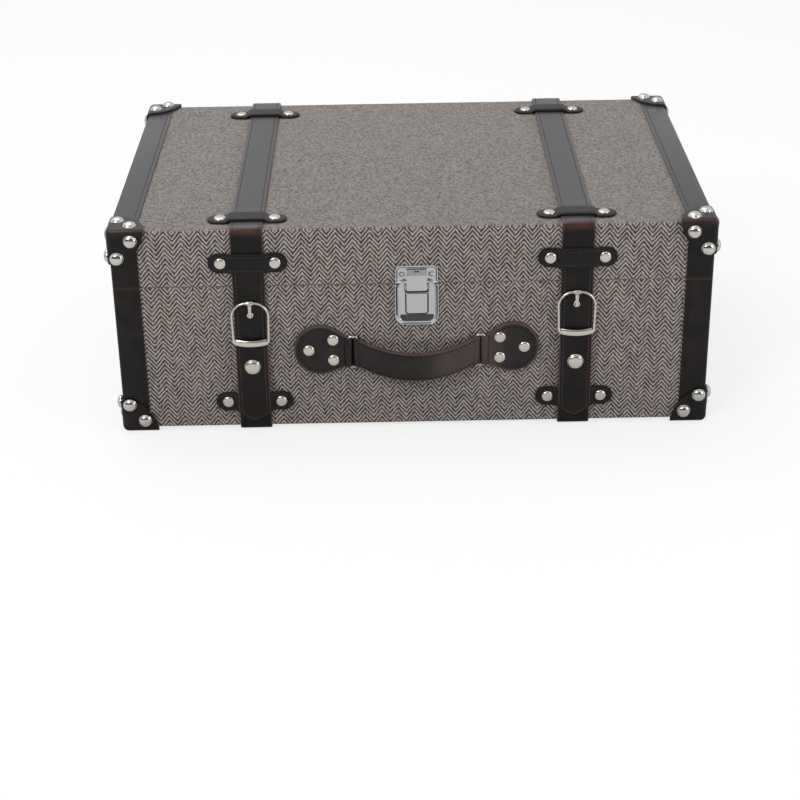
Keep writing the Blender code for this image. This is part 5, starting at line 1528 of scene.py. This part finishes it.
tab_rivets = []
for side, sign in SIDES.items():
    shape, rims = leather_plate(tab_outline(sign), TAB_THICKNESS, TAB_EDGE,
                                shifted(HANDLE, 0, 0, FIT_GAP))
    add_loop(shape,
             shifted(HANDLE, sign * (RING_REACH + RING_WIDTH / 2), RING_HEIGHT, RING_STANDOFF))
    mesh = mesh_from(shape)
    mark_rims(mesh, lambda face: face.index in rims)
    place_piece("handle_tab_leather_" + side, mesh, handle_leather, "base",
                ["handle_tab_" + side])
    lift = FIT_GAP + TAB_THICKNESS + THREAD_LIFT
    seam = inset_loop(tab_outline(sign), TAB_SEAM_INSET)
    near = RING_REACH + RING_WIDTH / 2 + 0.004
    round_line = [HANDLE @ Vector((a, b, lift)) for a, b in seam if abs(a) > near]
    sew("handle_tab_stitches_" + side, [round_line], black_thread, "base", *HANDLE_STITCH)
    place = shifted(HANDLE, sign * RING_REACH, RING_HEIGHT, RING_STANDOFF)
    place_piece("handle_wire_" + side, wire_loop(ring_rows(), place), satin_nickel,
                "base",
                ["handle_ring_" + side])
    for reach, rise in TAB_RIVETS:
        tab_rivets.append(shifted(HANDLE, sign * reach, TAB_HEIGHT + rise, FIT_GAP + TAB_THICKNESS))
print("tabs and rings made")

# %% [markdown]
# The grip is a thick stitched band that bows out and hangs a little. Its ends are held in the
# rings, and each half is left without a body.

# %% Grip
GRIP_WIRE_REACH = RING_REACH - RING_WIDTH / 2
GRIP_WIDTH = 0.0256
GRIP_THICKNESS = 0.0040
GRIP_SAG = 0.0106
GRIP_BOW = 0.0104
GRIP_STEPS = 26
GRIP_HELD = 0.0040
GRIP_FREE = 0.0200
GRIP_BEND_LIFT = 0.0060


def grip_stations(sign):
    """Stations from the handle's middle to one ring."""
    stations = []
    for step in range(GRIP_STEPS + 1):
        reach = GRIP_WIRE_REACH * step / GRIP_STEPS
        share = 1 - (reach / GRIP_WIRE_REACH) ** 2
        slope = -2 * GRIP_BOW * reach / GRIP_WIRE_REACH ** 2
        tilt = math.atan(slope) * sign
        outward = Vector((-math.sin(tilt), 0, math.cos(tilt)))
        centre = Vector((sign * reach, RING_HEIGHT - GRIP_SAG * share,
                         RING_STANDOFF + GRIP_BOW * share))
        back = centre - outward * GRIP_THICKNESS / 2
        turn = HANDLE.to_3x3()
        stations.append((HANDLE @ back, turn @ Vector((0, 1, 0)), turn @ outward, GRIP_WIDTH / 2,
                         GRIP_THICKNESS))
    return stations


for side, sign in SIDES.items():
    stations = grip_stations(sign)
    shape, rims = strip_shape(stations)
    add_loop(shape, shifted(HANDLE, sign * GRIP_WIRE_REACH, RING_HEIGHT, RING_STANDOFF))
    mesh = mesh_from(shape)
    mark_rims(mesh, lambda face: face.index in rims)
    stood_for = ["handle_end_" + side] + (["handle_grip"] if side == "left" else [])
    grip = place_piece("handle_grip_" + side, mesh, handle_leather, None, stood_for)
    threads = sew("handle_grip_stitches_" + side, edge_lines(stations, SEAM_INSET), black_thread,
                  None,
                  *HANDLE_STITCH)
    start = HANDLE @ Vector((sign * (GRIP_WIRE_REACH - GRIP_HELD), RING_HEIGHT, GRIP_BEND_LIFT))
    end = HANDLE @ Vector((sign * (GRIP_WIRE_REACH - GRIP_FREE), RING_HEIGHT, GRIP_BEND_LIFT))
    for piece in (grip, threads):
        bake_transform(piece)
print("grip made")

# %% [markdown]
# Now the fasteners that hold the straps and tabs: flat nickel rivets through the keepers, tabs and
# strap ends, a domed cap on each snap, and an eyelet under each prong.

# %% Rivets, snaps and eyelets
RIVET_TILT = 0.06
END_RIVET = 0.0100
SNAP_Z = 0.0624
SNAP_LIFT = 0.0050
EYELET_DROP = 0.0125
EYELET_RADIUS = 0.0020
EYELET_STEPS = 20
base_rivets = keeper_rivets["base"] + tab_rivets
lid_rivets = list(keeper_rivets["lid"])
for side, x in STRAP_XS.items():
    base_rivets.append(shifted(BACK, -x, BASE_RIM_Z - END_RIVET, STRAP_SEAT + STRAP_THICKNESS))
    lid_rivets.append(shifted(BACK, -x, LID_RIM_Z + END_RIVET, STRAP_SEAT + STRAP_THICKNESS))
    snap = shifted(FRONT, x, SNAP_Z, SNAP_LIFT + STRAP_THICKNESS)
    fasten("snap_cap_" + side, SNAP, [snap], satin_nickel, "strap_flap_" + side)
fasten("base_rivets", RIVET, base_rivets, satin_nickel, "base", RIVET_TILT, 11)
fasten("lid_rivets", RIVET, lid_rivets, satin_nickel, "lid", RIVET_TILT, 5)
eyelet_turns = [math.tau * step / EYELET_STEPS for step in range(EYELET_STEPS)]
eyelet_rows = [(EYELET_RADIUS * math.cos(turn), EYELET_RADIUS * math.sin(turn), 0, 0.0007, 0.0005)
               for turn in eyelet_turns]
for side in SIDES:
    place = flap_frame(side, BUCKLE_TOPS[side] - EYELET_DROP)
    place_piece("strap_eyelet_" + side, wire_loop(eyelet_rows, place), satin_nickel,
                "strap_flap_" + side)
for template in (STUD, RIVET, SNAP):
    bpy.data.objects.remove(template, do_unlink=True)
print(len(base_rivets), "rivets on the base,", len(lid_rivets), "on the lid")

# %% [markdown]
# A thin line of dark stitches runs along the inner edge of every trim, about 3.5 mm in.

# %% Stitches on the trims
TRIM_INSET = 0.0034
TRIM_STITCH = (0.0030, 0.0021, 0.00055)
CAP_CLEARANCE = 0.030
TOP_CLEARANCE = 0.029
RIM_CLEARANCE = 0.002
for half, rim_z, closed_z, inward in (("base", BASE_RIM_Z, BASE_BOTTOM_Z, 1),
                                      ("lid", LID_RIM_Z, LID_TOP_Z, -1)):
    lines = []
    for sign in SIDES.values():
        x = sign * (SIDE_X + TRIM_FACE - TRIM_WIDTH + TRIM_INSET)
        out = TRIM_FACE + THREAD_LIFT
        y_front, y_back = FRONT_Y - out, BACK_Y + out
        clear = closed_z + inward * CAP_CLEARANCE
        end = rim_z - inward * RIM_CLEARANCE
        lines.append([Vector((x, y_front, clear)), Vector((x, y_front, end))])
        lines.append([Vector((x, y_back, clear)), Vector((x, y_back, end))])
        level = closed_z - inward * out
        lines.append([Vector((x, FRONT_Y + TOP_CLEARANCE, level)),
                      Vector((x, BACK_Y - TOP_CLEARANCE, level))])
        side_x = sign * (SIDE_X + out)
        inner = TRIM_WIDTH - TRIM_FACE - TRIM_INSET
        turn_z = closed_z + inward * inner
        path = ((FRONT_Y + inner, end), (FRONT_Y + inner, turn_z),
                (BACK_Y - inner, turn_z), (BACK_Y - inner, end))
        lines.append([Vector((side_x, y, z)) for y, z in path])
    sew(half + "_trim_stitches", lines, black_thread, half, *TRIM_STITCH)
print("trims stitched")

# %% [markdown]
# The studio is a white floor under soft light. The floor keeps the trunk's shadow, and its
# material turns white for camera rays, so no extra light has to fall on the trunk.

# %% Floor
floor_mesh = bpy.data.meshes.new("studio_floor")
FLOOR_REACH = 6.0
PAPER_GREY = 0.62
PAPER_GLOW = 1.22
GLOW_SHARE = 0.62
floor_corners = [(a * FLOOR_REACH, b * FLOOR_REACH, 0)
                 for a, b in ((-1, -1), (1, -1), (1, 1), (-1, 1))]
floor_mesh.from_pydata(floor_corners, [], [(0, 1, 2, 3)])
floor = bpy.data.objects.new("studio_floor", floor_mesh)
bpy.context.scene.collection.objects.link(floor)
paper = bpy.data.materials.new("white_paper")
paper.use_nodes = True
tree = paper.node_tree
paper_shader = tree.nodes["Principled BSDF"]
paper_shader.inputs["Base Color"].default_value = (PAPER_GREY, PAPER_GREY, PAPER_GREY, 1)
paper_shader.inputs["Roughness"].default_value = 0.9
glow = tree.nodes.new("ShaderNodeEmission")
glow.inputs["Strength"].default_value = PAPER_GLOW
rays = tree.nodes.new("ShaderNodeLightPath")
half_seen = tree.nodes.new("ShaderNodeMath")
half_seen.operation = "MULTIPLY"
half_seen.inputs[1].default_value = GLOW_SHARE
tree.links.new(rays.outputs["Is Camera Ray"], half_seen.inputs[0])
blend_node = tree.nodes.new("ShaderNodeMixShader")
tree.links.new(half_seen.outputs[0], blend_node.inputs[0])
tree.links.new(paper_shader.outputs[0], blend_node.inputs[1])
tree.links.new(glow.outputs[0], blend_node.inputs[2])
tree.links.new(blend_node.outputs[0], tree.nodes["Material Output"].inputs[0])
floor_mesh.materials.append(paper)
floor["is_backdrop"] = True

# %% [markdown]
# The room is an even white that dims towards the front and above, so that polished metal has
# something dark to mirror. The camera sees it plain white. Three soft lamps model the trunk.

# %% Light
scene = bpy.context.scene
world = bpy.data.worlds.new("studio")
scene.world = world
world.use_nodes = True
sky_tree = world.node_tree
background = sky_tree.nodes["Background"]
background.inputs["Color"].default_value = (1, 1, 1, 1)
sky_rays = sky_tree.nodes.new("ShaderNodeLightPath")
seen = sky_tree.nodes.new("ShaderNodeMath")
seen.operation = "MAXIMUM"
sky_tree.links.new(sky_rays.outputs["Is Camera Ray"], seen.inputs[0])
sky_tree.links.new(sky_rays.outputs["Is Transmission Ray"], seen.inputs[1])


def sky_node(kind, settings, inputs):
    """World node whose inputs are sockets or numbers."""
    node = sky_tree.nodes.new(kind)
    for name, value in settings.items():
        setattr(node, name, value)
    for key, value in inputs.items():
        if isinstance(value, bpy.types.NodeSocket):
            sky_tree.links.new(value, node.inputs[key])
        else:
            node.inputs[key].default_value = value
    return node.outputs[0]


STUDIO_LEVEL = 0.66
DARK_SIDE = 0.88
way = sky_tree.nodes.new("ShaderNodeTexCoord").outputs["Generated"]
split = sky_tree.nodes.new("ShaderNodeSeparateXYZ")
sky_tree.links.new(way, split.inputs[0])
smooth = {"interpolation_type": "SMOOTHSTEP"}
towards_front = sky_node("ShaderNodeMapRange", smooth,
                         {"Value": split.outputs["Y"], "From Min": -0.1, "From Max": -0.6})
above = sky_node("ShaderNodeMapRange", smooth,
                 {"Value": split.outputs["Z"], "From Min": 0.50, "From Max": 0.72, "To Min": 1.0,
                  "To Max": 0.0})
dark_side = sky_node("ShaderNodeMath", {"operation": "MULTIPLY"}, {0: towards_front, 1: above})
room = sky_node("ShaderNodeMapRange", {}, {
    "Value": dark_side, "To Min": STUDIO_LEVEL, "To Max": STUDIO_LEVEL * (1 - DARK_SIDE)})
level = sky_node("ShaderNodeMix", {"data_type": "FLOAT"}, {0: seen.outputs[0], 2: room, 3: 1.0})
sky_tree.links.new(level, background.inputs["Strength"])


def soft_light(name, spot, aim, size, power):
    """Square soft light that faces a point."""
    lamp = bpy.data.lights.new(name, "AREA")
    lamp.size = size
    lamp.energy = power
    holder = bpy.data.objects.new(name, lamp)
    scene.collection.objects.link(holder)
    holder.location = spot
    holder.rotation_euler = (Vector(aim) - Vector(spot)).to_track_quat("-Z", "Y").to_euler()


LAMP_AIM = (0, 0, 0.1)
for name, spot, size, power in (
        ("top_light", (-0.5, 0.6, 2.0), 1.4, 13.0),
        ("front_light", (-1.2, -1.9, 1.8), 0.9, 24.0),
        ("side_light", (1.5, -1.1, 0.7), 0.7, 7.0)):
    soft_light(name, spot, LAMP_AIM, size, power)
print("lights set")

# %% [markdown]
# The camera was found by matching the photograph's corners: a long lens, 27 degrees above the
# level and almost square to the front.

# %% Camera
PITCH, YAW, ROLL = math.radians(26.99), math.radians(-0.24), math.radians(-0.94)
CAMERA_SPOT = Vector((-0.01823, -1.55138, 0.73381))
SENSOR_WIDTH = 36.0
LENS = 81.84
level_axes = Matrix((
    (1, 0, 0), (0, -math.sin(PITCH), -math.cos(PITCH)), (0, math.cos(PITCH), -math.sin(PITCH))))
turned_axes = Matrix.Rotation(ROLL, 3, "Z") @ level_axes @ Matrix.Rotation(YAW, 3, "Z").transposed()
right_way, down_way, ahead_way = (turned_axes.row[index] for index in range(3))
camera_data = bpy.data.cameras.new("camera")
camera_data.lens = LENS
camera_data.sensor_width = SENSOR_WIDTH
camera = bpy.data.objects.new("camera", camera_data)
scene.collection.objects.link(camera)
camera.matrix_world = (
    Matrix.Translation(CAMERA_SPOT)
    @ Matrix((right_way, -Vector(down_way), -Vector(ahead_way))).transposed().to_4x4())
scene.camera = camera
scene.view_settings.view_transform = "Standard"

# %% [markdown]
# Last, the size of the dressed trunk is printed against the size of its solids, to be compared.

# %% Sizes and finish
low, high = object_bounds()
grown_by = [round(gap * 1000, 2) for gap in (*(cad_low - low), *(high - cad_high))]
print("the dressed trunk stands proud of the solids by", grown_by, "mm")
